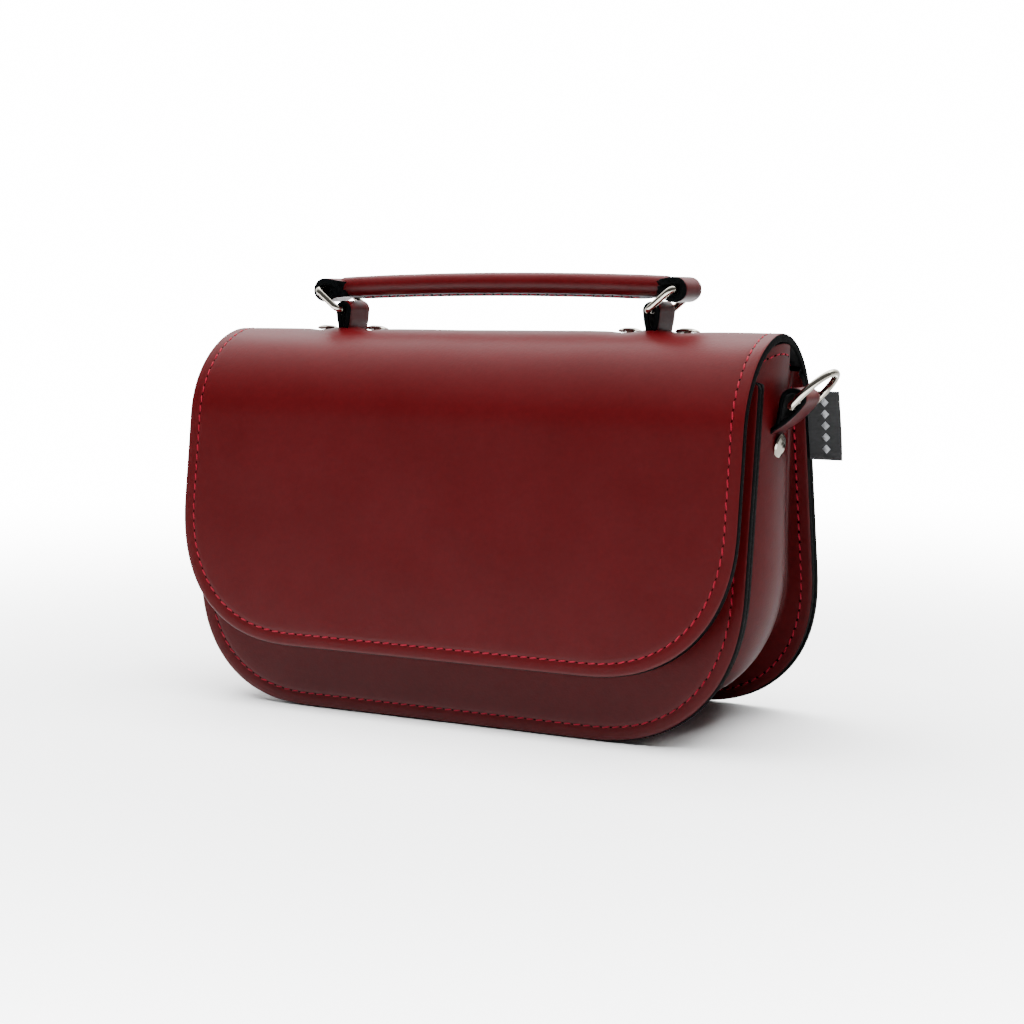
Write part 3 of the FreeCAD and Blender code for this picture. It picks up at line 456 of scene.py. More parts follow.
# ------------------------------------------------------------------ faces of the bag
class HideProfile:
    """Outer face of the hide in side view: up the back, over the rolled top, down the front.
    Places and directions in this view are complex numbers, y + z i."""

    def __init__(self):
        self.back_normal = complex(*unit(1, -BACK_LEAN))
        self.front_normal = complex(*unit(-1, FLAP_LEAN))
        self.back_length = BACK_TANGENT_HEIGHT * math.hypot(1, BACK_LEAN)
        tangent = complex(back_high.y + BACK_LEAN * BACK_TANGENT_HEIGHT, BACK_TANGENT_HEIGHT)
        self.back_centre = tangent - BACK_RADIUS * self.back_normal
        # The front centre lies on the flap's line, shifted in by its radius, where the arcs touch.
        flap_foot = flap_low.y - FLAP_LEAN * FLAP_BOTTOM
        base = flap_foot - FRONT_RADIUS * self.front_normal
        along = complex(*unit(FLAP_LEAN, 1))
        turned = (self.back_centre - base) * along.conjugate()
        reach = turned.real - math.sqrt((FRONT_RADIUS - BACK_RADIUS) ** 2 - turned.imag ** 2)
        self.front_centre = base + reach * along
        self.start_angle = cmath.phase(self.back_normal)
        self.joint_angle = cmath.phase(self.back_centre - self.front_centre)
        self.back_arc = BACK_RADIUS * (self.joint_angle - self.start_angle)
        self.front_arc = FRONT_RADIUS * (cmath.phase(self.front_normal) - self.joint_angle)
        self.front_start = self.front_centre + FRONT_RADIUS * self.front_normal
        straight = (self.front_start.imag - FLAP_BOTTOM) * math.hypot(1, FLAP_LEAN)
        self.roll_end = self.back_length + self.back_arc + self.front_arc
        self.length = self.roll_end + straight

    def at(self, v):
        """Outer place and outward normal at a length from the foot of the back."""
        if v < self.back_length:
            z = v / math.hypot(1, BACK_LEAN)
            return complex(back_high.y + BACK_LEAN * z, z), self.back_normal
        if v >= self.roll_end:
            return self.front_start + 1j * self.front_normal * (v - self.roll_end), self.front_normal
        v -= self.back_length
        if v < self.back_arc:
            centre, radius, angle = self.back_centre, BACK_RADIUS, self.start_angle
        else:
            v -= self.back_arc
            centre, radius, angle = self.front_centre, FRONT_RADIUS, self.joint_angle
        normal = cmath.rect(1, angle + v / radius)
        return centre + radius * normal, normal


HIDE = HideProfile()


def length_at(test):
    """Length along the hide where a test of (y, z) first holds."""
    v = 0.0
    place = HIDE.at(v)[0]
    while not test(place.real, place.imag):
        v += 0.1
        place = HIDE.at(v)[0]
    return v


RING_BAR = middle_of("mount_loop_right")
MOUNT_X, MOUNT_Y = RING_BAR.x, RING_BAR.y
MOUNT_V = length_at(lambda y, z: z > ROLL_HEIGHT and y < MOUNT_Y)
HINGE_V = length_at(lambda y, z: z > BEND_HEIGHT)
FLANGE_V = length_at(lambda y, z: z > BACK_FLANGE_TOP)
MOUNT_SWELL = 1.4
SWELL_WIDTH = 5.0
SWELL_LENGTH = 10.0
CALM_WIDTH = 24.0
RIVET_OFFSET = 11.8
RIVET_DIMPLE = 0.75
DIMPLE_WIDTH = 4.5
WIDENING = 50.0


def hide_swell(x, v):
    """How far the hide stands out of its drawn face: soft waves, and swollen round the straps."""
    swell = 0.32 * noise.noise(Vector((x * 0.014, v * 0.014, 3.1)))
    swell += 0.14 * noise.noise(Vector((x * 0.05, v * 0.05, 9.4)))
    for sign in (-1, 1):
        across, along = x - sign * MOUNT_X, (v - MOUNT_V) / SWELL_LENGTH
        near = math.exp(-(across / CALM_WIDTH) ** 2 - along ** 2)
        strap_rise = MOUNT_SWELL * math.exp(-(across / SWELL_WIDTH) ** 2 - along ** 2)
        dimple = RIVET_DIMPLE * math.exp(-((abs(across) - RIVET_OFFSET) / DIMPLE_WIDTH) ** 2 - along ** 2)
        swell = swell * (1 - near) + strap_rise - dimple
    return swell


def on_hide(x, v, depth, lift=0.0):
    """Point of the hide; it widens from the back panel to the flap above the bend."""
    wide = 1 + (FLAP_HALF / HALF - 1) * smoothstep(v, HINGE_V, HINGE_V + WIDENING)
    place, normal = HIDE.at(v)
    place += normal * (hide_swell(x, v) + lift - depth)
    return x * wide, place.real, place.imag


def on_front(x, v, depth, lift=0.0):
    """Point of the front panel."""
    ny, nz = unit(-1, FRONT_LEAN)
    slant = math.hypot(1, FRONT_LEAN)
    z = v / slant
    off = 0.3 * noise.noise(Vector((x * 0.016, v * 0.016, 7.7))) + lift - depth
    return x, front_low.y + FRONT_LEAN * z + ny * off, z + nz * off


hide_outline = Outline(HALF, HIDE.length, BACK_CORNER, FLAP_CORNER, 40, 84)
front_outline = Outline(HALF, FRONT_TOP * math.hypot(1, FRONT_LEAN), BACK_CORNER, FRONT_TOP_CORNER, 40, 26)


# ------------------------------------------------------------------ stitches
class Threads:
    """Collects stitches and the painted shade of their needle holes into one mesh."""

    RINGS = 7
    SPOKES = 7
    HALF_WIDTH = 0.28
    HALF_LENGTH = 1.52
    HOLE_RADIUS = 0.50
    HOLE_SPOKES = 8
    THREAD_SLOT, HOLE_SLOT = 0, 1

    def __init__(self):
        self.points, self.faces, self.slots = [], [], []

    def stitch(self, centre, along, side, up, half_length, height):
        """Closed spindle of thread that dives into the leather at both ends."""
        base = len(self.points)
        for ring in range(self.RINGS):
            t = -1 + 2 * (ring + 0.5) / self.RINGS
            width = self.HALF_WIDTH * (1 - abs(t) ** 3.2) ** 0.5
            middle = centre + along * (half_length * t) + up * (height * (1 - 1.6 * t ** 4))
            for spoke in range(self.SPOKES):
                turn = 2 * math.pi * spoke / self.SPOKES
                self.points.append(middle + side * (width * math.cos(turn))
                                   + up * (width * 0.8 * math.sin(turn)))
        last = base + (self.RINGS - 1) * self.SPOKES
        for first in range(base, last, self.SPOKES):
            self.faces += ring_quads(first, first + self.SPOKES, self.SPOKES)
        self.faces += [tuple(range(first, first + self.SPOKES)) for first in (base, last)]
        self.slots += [self.THREAD_SLOT] * ((self.RINGS - 1) * self.SPOKES + 2)

    def hole(self, centre, along, side, up):
        """Flat lens of painted shade at a needle hole."""
        base, spokes = len(self.points), self.HOLE_SPOKES
        for spoke in range(spokes):
            turn = 2 * math.pi * spoke / spokes
            outward = along * math.cos(turn) + side * math.sin(turn)
            self.points.append(centre + outward * self.HOLE_RADIUS)
        self.points += [centre + up * 0.1, centre - up * 0.2]
        for spoke in range(spokes):
            after = (spoke + 1) % spokes
            for tip in (base + spokes, base + spokes + 1):
                self.faces.append((base + spoke, base + after, tip))
                self.slots.append(self.HOLE_SLOT)

    def row(self, path, to_space, slant=9.0, height=0.12):
        """Stitches along a flat path; to_space(x, v, lift) gives a point on the leather."""
        path = np.array(path, float)
        steps = np.linalg.norm(np.diff(path, axis=0), axis=1)
        marks = np.concatenate([[0], np.cumsum(steps)])
        total = marks[-1]
        number = max(int(round(total / STITCH_PITCH)), 1)
        pitch = total / number

        def place(s, lift=0.0):
            s = min(max(s, 0.0), total)
            return Vector(to_space(np.interp(s, marks, path[:, 0]), np.interp(s, marks, path[:, 1]), lift))

        for index in range(number):
            s = (index + 0.5) * pitch
            centre = place(s)
            along = (place(s + 0.6) - place(s - 0.6)).normalized()
            up = (place(s, 0.5) - centre).normalized()
            side = up.cross(along).normalized()
            turn = math.radians(slant + random.uniform(-3, 3))
            tilted = along * math.cos(turn) + side * math.sin(turn)
            across = up.cross(tilted).normalized()
            length = self.HALF_LENGTH * random.uniform(0.92, 1.06)
            self.stitch(centre, tilted, across, up, length, height)
            # Lens of painted shade at the needle hole between two stitches.
            self.hole(place(index * pitch), along, side, up)

    def piece(self, name):
        return make_piece(name, self.points, self.faces, self.slots, [THREAD, HOLE])


def seam_loop(outline, high=None):
    """Flat path along the seam: the whole loop, or the part below a height, from the top left."""
    loop = outline.loop(SEAM_INSET)
    if high is None:
        return loop + loop[:1]
    below = [k for k, (x, v) in enumerate(loop) if v <= high and x < 0]
    start = max(below, key=lambda k: loop[k][1])
    return [p for p in loop[start:] + loop[:start] if p[1] <= high]


# ------------------------------------------------------------------ hide, front panel
SLOT_MIDDLE_Z = 142.0
SLOT_REACH = 12.0
OUTER_STITCH_DEPTH = 0.2
INNER_STITCH_DEPTH = LEATHER - 0.12
FLANGE_STITCH_DEPTH = LEATHER + GUSSET + 0.05


def cut_slots(piece):
    """Slots in the rolled top for the two handle straps, with painted edges."""
    half_x = STRAP + 0.35
    half_y = STRAP_WIDTH / 2 + 0.7
    for sign in (-1, 1):
        points = [(sign * MOUNT_X + a * half_x, MOUNT_Y + b * half_y, SLOT_MIDDLE_Z + c * SLOT_REACH)
                  for a in (-1, 1) for b in (-1, 1) for c in (-1, 1)]
        faces = [(0, 1, 3, 2), (4, 6, 7, 5), (0, 4, 5, 1), (2, 3, 7, 6), (0, 2, 6, 4), (1, 5, 7, 3)]
        cutter = make_piece("slot_cutter", points, faces, [EDGE_SLOT] * 6, HIDE_MATERIALS)
        modifier = piece.modifiers.new("slot", "BOOLEAN")
        modifier.operation = "DIFFERENCE"
        modifier.solver = "EXACT"
        modifier.object = cutter
        apply_modifiers(piece)
        bpy.data.objects.remove(cutter)


def make_hide():
    """One piece of leather: back panel, rolled top and flap."""
    hide = leather_sheet("hide_leather", hide_outline, on_hide, LEATHER)
    cut_slots(hide)
    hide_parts("back_panel", "flap")
    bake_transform(hide)
    threads = Threads()
    threads.row(seam_loop(hide_outline), lambda x, v, lift: on_hide(x, v, OUTER_STITCH_DEPTH, lift))
    inner = [p for p in seam_loop(hide_outline) if p[1] > FLANGE_V + 3]
    threads.row(inner, lambda x, v, lift: on_hide(x, v, INNER_STITCH_DEPTH, -lift))
    stitched = threads.piece("hide_stitches")
    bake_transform(stitched)


def make_front_panel():
    """Flat front panel, behind the flap."""
    panel = leather_sheet("front_panel_leather", front_outline, on_front, LEATHER)
    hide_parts("front_panel")
    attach(panel, "bag")


def make_seams():
    """Side and bottom seams: on the panels' faces and on the gusset's flanges."""
    threads = Threads()
    front_path = seam_loop(front_outline, high=(FRONT_TOP - 5) * math.hypot(1, FRONT_LEAN))
    threads.row(front_path, lambda x, v, lift: on_front(x, v, OUTER_STITCH_DEPTH, lift))
    threads.row([p for p in front_path if p[1] < FRONT_FLANGE_TOP - 2],
                lambda x, v, lift: on_front(x, v, FLANGE_STITCH_DEPTH, -lift))
    back_path = seam_loop(hide_outline, high=FLANGE_V - 2)
    threads.row(back_path, lambda x, v, lift: on_hide(x, v, FLANGE_STITCH_DEPTH, -lift))
    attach(threads.piece("gusset_seam_stitches"), "bag")


# ------------------------------------------------------------------ gusset
CREST_INSET = 2.0
FOOT_INSET = 3.6
FOOT_HEIGHT = 62.0
LEAN_OUT = 2.7
LEAN_FROM = 127.0
LEAN_HEIGHT = 18.0
BULGE_RADIUS = 39.0
BULGE_HALF = 16.0
BULGE_REACH = 30.0
CREASE_ROUND = 2.6
WALL_COLUMNS = 26
FLANGE_COLUMNS = 6
ROUND_COLUMNS = 5
TONGUE_ROWS = 16
SIDE_STEPS = 24
CORNER_STEPS = 24
BOTTOM_STEPS = 30
BACK_FLANGE_CORNER = 4.0
FRONT_FLANGE_CORNER = 1.5
FLANGE_STEP_IN = 0.25
TONGUE_STEP_IN = 4.2
TONGUE_BACK_TAPER = 4.6
TONGUE_FRONT_TAPER = 0.8
LID_GAP = 0.6
HEM_DROP = 4.4
HEM_FRONT_Y = 6.6
HEM_BACK_Y = -13.4
EDGE_ROUND = 0.35


def sag(distance):
    """How far the wall falls back from its crest at a distance across it."""
    d = abs(distance)
    edge = BULGE_RADIUS - math.sqrt(BULGE_RADIUS ** 2 - BULGE_HALF ** 2)
    slope = BULGE_HALF / math.sqrt(BULGE_RADIUS ** 2 - BULGE_HALF ** 2)
    if d <= BULGE_HALF:
        return BULGE_RADIUS - math.sqrt(BULGE_RADIUS ** 2 - d ** 2)
    if d <= BULGE_REACH:
        return edge + (d - BULGE_HALF) * slope
    return edge + (BULGE_REACH - BULGE_HALF) * slope + (d - BULGE_REACH) * slope / 4


def crest(z):
    """Inset of the wall's crest from the panel's edge: more at the bottom, where the gusset
    is held flat, and less at the free end, which leans outward."""
    pulled_in = FOOT_INSET * (1 - smoothstep(z, 2, FOOT_HEIGHT))
    return CREST_INSET + pulled_in - LEAN_OUT * min(max((z - LEAN_FROM) / LEAN_HEIGHT, 0.0), 1.0)


def wall_inset(x, y, z):
    """Inset of the wall's grain side at a place on it, with soft waves."""
    return crest(z) + sag(y - SIDE_Y) + 0.5 * noise.noise(Vector((x * 0.03, y * 0.05, z * 0.03)))


def hide_inside(depth, start, end):
    """Places (y + z i) at a depth under the hide's outer face, between two lengths along it."""
    places = [HIDE.at(v) for v in np.arange(start, end, 0.5)]
    return np.array([place - normal * depth for place, normal in places])


UNDER_BACK = hide_inside(LEATHER + GUSSET, 0.0, HIDE.back_length + 25)
UNDER_TOP = hide_inside(LEATHER, HIDE.back_length, HIDE.roll_end)[::-1]


def under_top(y):
    """Height of the flesh side of the rolled top."""
    return float(np.interp(y, UNDER_TOP.real, UNDER_TOP.imag))


def back_face(z):
    """Where the grain side of the back flange lies at a height."""
    return float(np.interp(z, UNDER_BACK.imag, UNDER_BACK.real) if z > 0 else UNDER_BACK[0].real)


def front_face(z):
    """Where the grain side of the front flange lies at a height."""
    return front_low.y + FRONT_LEAN * z + (LEATHER + GUSSET) * math.hypot(1, FRONT_LEAN)


def gusset_stations():
    """Outline points (x, z) of the panel with inward normals, from the right top to the left top."""
    heights = [BACK_FLANGE_TOP - 0.6 * k for k in range(5)]
    heights += [FRONT_FLANGE_TOP - k for k in (0.0, 0.5, 1.2, 2.4, 4.0, 6.0, 8.0)]
    lowest = heights[-1]
    heights += [lowest - (lowest - BACK_CORNER) * k / SIDE_STEPS for k in range(1, SIDE_STEPS)]
    right = [((HALF, z), (-1.0, 0.0)) for z in heights]
    centre = HALF - BACK_CORNER
    for step in range(CORNER_STEPS + 1):
        angle = math.radians(90 * step / CORNER_STEPS)
        cx = math.cos(angle) ** (2 / CORNER_POWER) if step < CORNER_STEPS else 0.0
        cz = math.sin(angle) ** (2 / CORNER_POWER)
        nx, nz = unit(cx ** (CORNER_POWER - 1), cz ** (CORNER_POWER - 1))
        right.append(((centre + BACK_CORNER * cx, BACK_CORNER - BACK_CORNER * cz), (-nx, nz)))
    bottom = [((centre - 2 * centre * step / BOTTOM_STEPS, 0.0), (0.0, 1.0))
              for step in range(1, BOTTOM_STEPS)]
    left = [((-x, z), (-nx, nz)) for (x, z), (nx, nz) in reversed(right)]
    return right + bottom + left


def corner_cut(below, radius):
    """How far a rounded corner steps in at a depth below the top."""
    left = max(radius - below, 0.0)
    return FLANGE_STEP_IN + radius - math.sqrt(radius ** 2 - left ** 2)


def section(point, normal):
    """Grain side of the gusset at one station, from the back flange's edge to the front one's."""
    (x0, z0), (nx, nz) = point, normal

    def height(n):
        return z0 + nz * n

    def crease(face):
        n = 10.0
        for _ in range(8):
            n = crest(height(n)) + sag(face(height(n)) - SIDE_Y)
        return n

    places = []
    back_edge = corner_cut(BACK_FLANGE_TOP - z0, BACK_FLANGE_CORNER)
    front_edge = corner_cut(max(FRONT_FLANGE_TOP - z0, 0.0), FRONT_FLANGE_CORNER)
    for face, sign, flange_edge in ((back_face, -1, back_edge), (front_face, 1, front_edge)):
        n = crease(face)
        y = face(height(n))
        wall_y = y + sign * CREASE_ROUND
        wall_n = crest(height(n)) + sag(wall_y - SIDE_Y)
        half = []
        flange_edge = min(flange_edge, n - CREASE_ROUND - 1.0)
        for k in range(FLANGE_COLUMNS):
            at = flange_edge + (n - CREASE_ROUND - flange_edge) * k / (FLANGE_COLUMNS - 1)
            half.append((at, face(height(at))))
        for k in range(1, ROUND_COLUMNS + 1):
            t = k / (ROUND_COLUMNS + 1)
            a, b, c = (1 - t) ** 2, 2 * t * (1 - t), t * t
            half.append((a * (n - CREASE_ROUND) + b * n + c * wall_n,
                         a * face(height(n - CREASE_ROUND)) + b * y + c * wall_y))
        places.append((half, wall_y))
    (back, y_start), (front, y_end) = places
    across = [y_start + (y_end - y_start) * k / WALL_COLUMNS for k in range(WALL_COLUMNS + 1)]
    wall = [(wall_inset(x0, y, z0), y) for y in across]
    return [(x0 + nx * n, y, height(n)) for n, y in back + wall + front[::-1]]


def tongue_edges(share):
    """Back and front edge of the free end of the gusset, from the flange's top to the lid."""
    back_start = back_face(BACK_FLANGE_TOP) - CREASE_ROUND
    front_start = front_face(BACK_FLANGE_TOP) + CREASE_ROUND
    step_in = 1 - (1 - min(share * 6, 1.0)) ** 2
    back = back_start - TONGUE_STEP_IN * step_in - TONGUE_BACK_TAPER * share
    return back, front_start - TONGUE_FRONT_TAPER * share


def tongue_point(sign, y, z, lift=0.0):
    """Point of the free end's grain side on the left (-1) or the right (1)."""
    return sign * (HALF - wall_inset(sign * HALF, y, z) + lift), y, z


def tongue_rows(sign):
    """Rows of points up the free end, from above the flange's top to just under the lid."""
    rows = []
    for step in range(1, TONGUE_ROWS + 1):
        share = step / TONGUE_ROWS
        back, front = tongue_edges(share)
        across = [back + (front - back) * k / WALL_COLUMNS for k in range(WALL_COLUMNS + 1)]
        tops = [under_top(y) - LID_GAP - BACK_FLANGE_TOP for y in across]
        rows.append([tongue_point(sign, y, BACK_FLANGE_TOP + top * share) for y, top in zip(across, tops)])
    return rows


def make_gusset():
    """One bent strip of leather, with its free ends and their stitched hems."""
    stations = gusset_stations()
    first_wall = FLANGE_COLUMNS + ROUND_COLUMNS
    columns = 2 * first_wall + WALL_COLUMNS + 1
    points, faces = [], []
    for point, normal in stations:
        points += section(point, normal)
    for row in range(len(stations) - 1):
        above_front = min(stations[row][0][1], stations[row + 1][0][1]) > FRONT_FLANGE_TOP - 0.1
        used = first_wall + WALL_COLUMNS + 1 if above_front else columns
        faces += strip_quads(row * columns, (row + 1) * columns, used)
    for sign, row in ((1, 0), (-1, len(stations) - 1)):
        previous = row * columns + first_wall
        for tongue in tongue_rows(sign):
            quads = strip_quads(previous, len(points), len(tongue))
            faces += quads if sign < 0 else [quad[::-1] for quad in quads]
            previous = len(points)
            points += tongue
    gusset = make_piece("gusset_leather", points, faces, [GRAIN_SLOT] * len(faces), HIDE_MATERIALS)
    wall = max(gusset.data.polygons, key=lambda p: p.center.x)
    if wall.normal.x < 0:
        gusset.data.flip_normals()
    thick = gusset.modifiers.new("thickness", "SOLIDIFY")
    thick.thickness = GUSSET * MM
    thick.offset = -1
    thick.material_offset = FLESH_SLOT
    thick.material_offset_rim = EDGE_SLOT
    rounded = gusset.modifiers.new("edge", "BEVEL")
    rounded.width = EDGE_ROUND * MM
    rounded.segments = 2
    rounded.limit_method = "ANGLE"
    rounded.angle_limit = math.radians(50)
    rounded.material = EDGE_SLOT
    apply_modifiers(gusset)
    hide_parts("gusset")
    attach(gusset, "bag")
    hem = Threads()
    for sign in (-1, 1):
        hem.row([(HEM_FRONT_Y, 0.0), (HEM_BACK_Y, 0.0)],
                lambda y, v, lift: tongue_point(sign, y, under_top(y) - HEM_DROP, lift), slant=6.0)
    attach(hem.piece("gusset_hem_stitches"), "bag")


# ------------------------------------------------------------------ straps
def smooth_path(points, steps=6):
    """Catmull-Rom curve through flat points."""
    points = [np.array(p, float) for p in points]
    ends = [2 * points[0] - points[1]] + points + [2 * points[-1] - points[-2]]
    curve = []
    for p0, p1, p2, p3 in zip(ends, ends[1:], ends[2:], ends[3:]):
        for step in range(steps):
            t = step / steps
            curve.append(0.5 * (2 * p1 + (p2 - p0) * t + (2 * p0 - 5 * p1 + 4 * p2 - p3) * t * t
                                + (3 * p1 - p0 - 3 * p2 + p3) * t ** 3))
    return curve + [points[-1]]


def swept(name, rings, ring_slots, materials):
    """Closed tube through rings of points, with painted ends; a slot follows each ring point."""
    count = len(rings[0])
    last = (len(rings) - 1) * count
    faces = [quad for first in range(0, last, count) for quad in ring_quads(first, first + count, count)]
    faces += [tuple(range(first, first + count)) for first in (0, last)]
    slots = ring_slots * (len(rings) - 1) + [EDGE_SLOT] * 2
    return make_piece(name, [point for ring in rings for point in ring], faces, slots, materials)


def strap_section(width, thick):
    """Rounded strap section: (across, depth, slot of the face that follows)."""
    half = width / 2
    flat = half - 0.6
    rounding = [(0.2, 0.12), (0.0, 0.45), (0.0, thick - 0.45), (0.2, thick - 0.1)]
    grain = [(-flat + 2 * flat * k / 8, 0.0, GRAIN_SLOT) for k in range(8)]
    right = [(flat, 0.0, GRAIN_SLOT)] + [(half - inset, depth, EDGE_SLOT) for inset, depth in rounding]
    flesh = [(flat - 2 * flat * k / 8, thick, FLESH_SLOT) for k in range(8)]
    left = [(-flat, thick, EDGE_SLOT)] + [(inset - half, depth, EDGE_SLOT) for inset, depth in rounding[::-1]]
    return grain + right + flesh + left


def strap(name, path, middle_y, width, thick, place, narrow=None):
    """Strap that runs along a path of its grain side in the XZ plane, wound so that its depth
    lies to the right of the path's direction; narrow gives its width's share along the path."""
    profile = strap_section(width, thick)
    rings = []
    for k, (x, z) in enumerate(path):
        before = path[max(k - 1, 0)]
        after = path[min(k + 1, len(path) - 1)]
        tx, tz = unit(after[0] - before[0], after[1] - before[1])
        share = narrow(k / (len(path) - 1)) if narrow else 1.0
        rings.append([place((x + tz * depth, middle_y + across * share, z - tx * depth))
                      for across, depth, _ in profile])
    return swept(name, rings, [slot for _, _, slot in profile], HIDE_MATERIALS)


def mirrored(sign):
    """Puts a point of the right side on the right (1) or the left (-1)."""
    return lambda point: (sign * point[0], point[1], point[2])


LOWER_BAR = (MOUNT_X, 155.7)
UPPER_BAR = (78.8, 163.7)
WIRE_RADIUS = 1.3
BAR_GAP = 0.05
SIDE_TAB_THICK = 1.7


def make_mount_strap(side, sign):
    """Strap from one rivet up through the slot, round the ring's bar and down to the other."""
    x, bar_z = LOWER_BAR
    top = under_top(MOUNT_Y)
    reach = WIRE_RADIUS + BAR_GAP + MOUNT_STRAP
    angles = [math.radians(195 - 15 * k) for k in range(15)]
    turn = [(x + reach * math.cos(angle), bar_z + reach * math.sin(angle)) for angle in angles]
    rising = [(x - 19.0, top + 0.7), (x - 12.0, top + 0.7), (x - 6.0, top + 0.7), (x - 3.6, top + 1.2),
              (x - 2.45, top + 2.8), (x - 2.4, top + 4.4), (x - 3.0, top + 7.0)]
    falling = [(2 * x - px, pz) for px, pz in reversed(rising)]
    path = smooth_path(rising + turn + falling, 4)

    def place(point):
        px, py, pz = point
        rise = smoothstep(pz, top - 0.5, top + 4.0)
        return sign * px, py, pz + (1 - rise) * (under_top(py) - top)

    piece = strap(f"mount_strap_{side}", path, MOUNT_Y, STRAP_WIDTH, MOUNT_STRAP, place)
    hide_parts(f"mount_loop_{side}", f"strap_tails_{side}")
    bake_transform(piece)


def make_side_tab(side, sign):
    """Leaf-shaped loop: both legs leave the gusset at one slot and hold the D-ring's bar."""
    outline = [(115.0, 112.6), (118.6, 114.6), (119.7, 118.0), (120.3, 122.6), (121.6, 126.4),
               (124.6, 128.2), (128.2, 127.9), (130.6, 125.6), (130.4, 122.8), (127.2, 119.0),
               (123.0, 115.3), (118.9, 112.6), (115.0, 109.4)]
    piece = strap(f"side_tab_leather_{side}", smooth_path(outline), SIDE_Y, STRAP_WIDTH, SIDE_TAB_THICK,
                  mirrored(sign))
    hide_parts(f"side_tab_{side}")
    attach(piece, "bag")


# ------------------------------------------------------------------ handle
HANDLE_HALF = 73.2
HANDLE_RADIUS = 4.1
HANDLE_END_X = 70.6
HANDLE_END_Z = 164.8
HANDLE_ARCH = 1.4
HANDLE_SEAM_HALF = 62.0
HANDLE_SEAM_DROP = 4.5
FIN_HALF = 1.55
FIN_LOW = 5.1
ROLL_STEPS = 26
LENGTH_STEPS = 70


def handle_axis(x):
    """Height of the handle's axis."""
    return HANDLE_END_Z + HANDLE_ARCH * (1 - (x / HANDLE_END_X) ** 2)


def handle_ring(x, scale, fin):
    """Closed section of the roll at x: round, with the sewn fin below.  Points and their slots."""
    ring = []
    opening = math.asin(FIN_HALF / HANDLE_RADIUS)
    for k in range(ROLL_STEPS + 1):
        angle = -math.pi / 2 + opening + 2 * (math.pi - opening) * k / ROLL_STEPS
        y, z = math.cos(angle), math.sin(angle)
        radius = HANDLE_RADIUS * scale * (1 + 0.012 * noise.noise(Vector((x * 0.09, y * 2, z * 2))))
        ring.append((radius * y, radius * z, GRAIN_SLOT))
    # Faces in FIN_SLOT carry the painted floor reflection on the fin's sides and lower edge.
    ring[-1] = (*ring[-1][:2], FIN_SLOT)
    low = -(HANDLE_RADIUS * scale + (FIN_LOW - HANDLE_RADIUS) * fin)
    half = FIN_HALF * scale
    side = [(half, low + 1.1), (half, low + 0.5), (half * 0.8, low)]
    ring += [(-y, z, FIN_SLOT) for y, z in side]
    ring += [(-0.12, low + 0.02, EDGE_SLOT), (0.0, low + 0.35, EDGE_SLOT), (0.12, low + 0.02, FIN_SLOT)]
    ring += [(y, z, FIN_SLOT) for y, z in reversed(side)]
    return [(x, MOUNT_Y + y, handle_axis(x) + z) for y, z, _ in ring], [slot for _, _, slot in ring]


def make_handle():
    """Rolled leather handle with rounded ends, and the stitches along its fin."""
    end_steps = (0.0, 0.12, 0.4, 0.9, 2.0)
    inner = HANDLE_HALF - end_steps[-1]
    places = [-HANDLE_HALF + step for step in end_steps]
    places += [-inner + 2 * inner * k / LENGTH_STEPS for k in range(1, LENGTH_STEPS)]
    places += [HANDLE_HALF - step for step in reversed(end_steps)]
    rings = []
    for x in places:
        from_end = HANDLE_HALF - abs(x)
        scale = 1 - 0.10 * math.exp(-from_end / 0.25) - 0.02 * math.exp(-from_end / 6)
        ring, ring_slots = handle_ring(x, scale, smoothstep(from_end, 2.0, 12.0))
        rings.append(ring)
    roll = swept("handle_roll", rings, ring_slots, HIDE_MATERIALS + [FIN_FLOOR_REFLECTION])
    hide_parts("handle_cover")
    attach(roll, "handle")
    threads = Threads()
    for sign in (-1, 1):
        threads.row([(-HANDLE_SEAM_HALF, 0.0), (HANDLE_SEAM_HALF, 0.0)],
                    lambda x, v, lift: (x, MOUNT_Y + sign * (FIN_HALF + lift),
                                        handle_axis(x) - HANDLE_SEAM_DROP), slant=4.0, height=0.06)
    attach(threads.piece("handle_stitches"), "handle")


def make_end_loop(side, sign):
    """Flat end of the handle leather, turned back round the ring's upper bar, and its filler."""
    x, z = UPPER_BAR
    outline = [(-9.5, 3.1), (-6.0, 3.9), (-3.0, 4.4), (-0.4, 4.6), (2.0, 3.9), (3.7, 2.1), (4.25, 0.0),
               (3.8, -2.3), (2.0, -4.1), (-0.5, -4.9), (-3.2, -4.5), (-6.0, -3.3), (-9.5, -2.8)]
    path = smooth_path([(x + across, z + up) for across, up in outline], 5)

    def narrow(share):
        return 0.5 + 0.5 * smoothstep(min(share, 1 - share), 0.0, 0.08)

    inner = [(x - 8.2 + 0.54 * k, z + 1.2 + 0.05 * k) for k in range(11)]
    filler = strap(f"handle_end_filler_{side}", inner, MOUNT_Y, STRAP_WIDTH - 1.0, END_STRAP,
                   mirrored(sign), narrow)
    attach(filler, "handle")
    piece = strap(f"handle_end_{side}", path, MOUNT_Y, STRAP_WIDTH, END_STRAP, mirrored(sign), narrow)
    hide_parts(f"handle_end_loop_{side}")
    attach(piece, "handle")


# ------------------------------------------------------------------ label and clasp patch
LABEL_LOW, LABEL_HIGH = node_box("woven_label")
TAPE_THICK = 0.34
TAPE_GAP = 0.14
FOLD_RADIUS = 0.35
DIAMOND_X = 126.6
DIAMOND_HALF = 1.7
DIAMOND_PITCH = 4.4
DIAMOND_COUNT = 5


def on_label(x, z, off):
    """Point at a distance off the middle of the folded tape, which curls at its free end."""
    middle = back_high.y + BACK_LEAN * z - (LEATHER + 0.1) * math.hypot(1, BACK_LEAN) + 0.4
    free = smoothstep(x, HALF, LABEL_HIGH.x)
    curl = 0.5 * free * math.sin((z - LABEL_LOW.z) * 0.16) - 0.8 * free
    return x, middle + off + curl, z


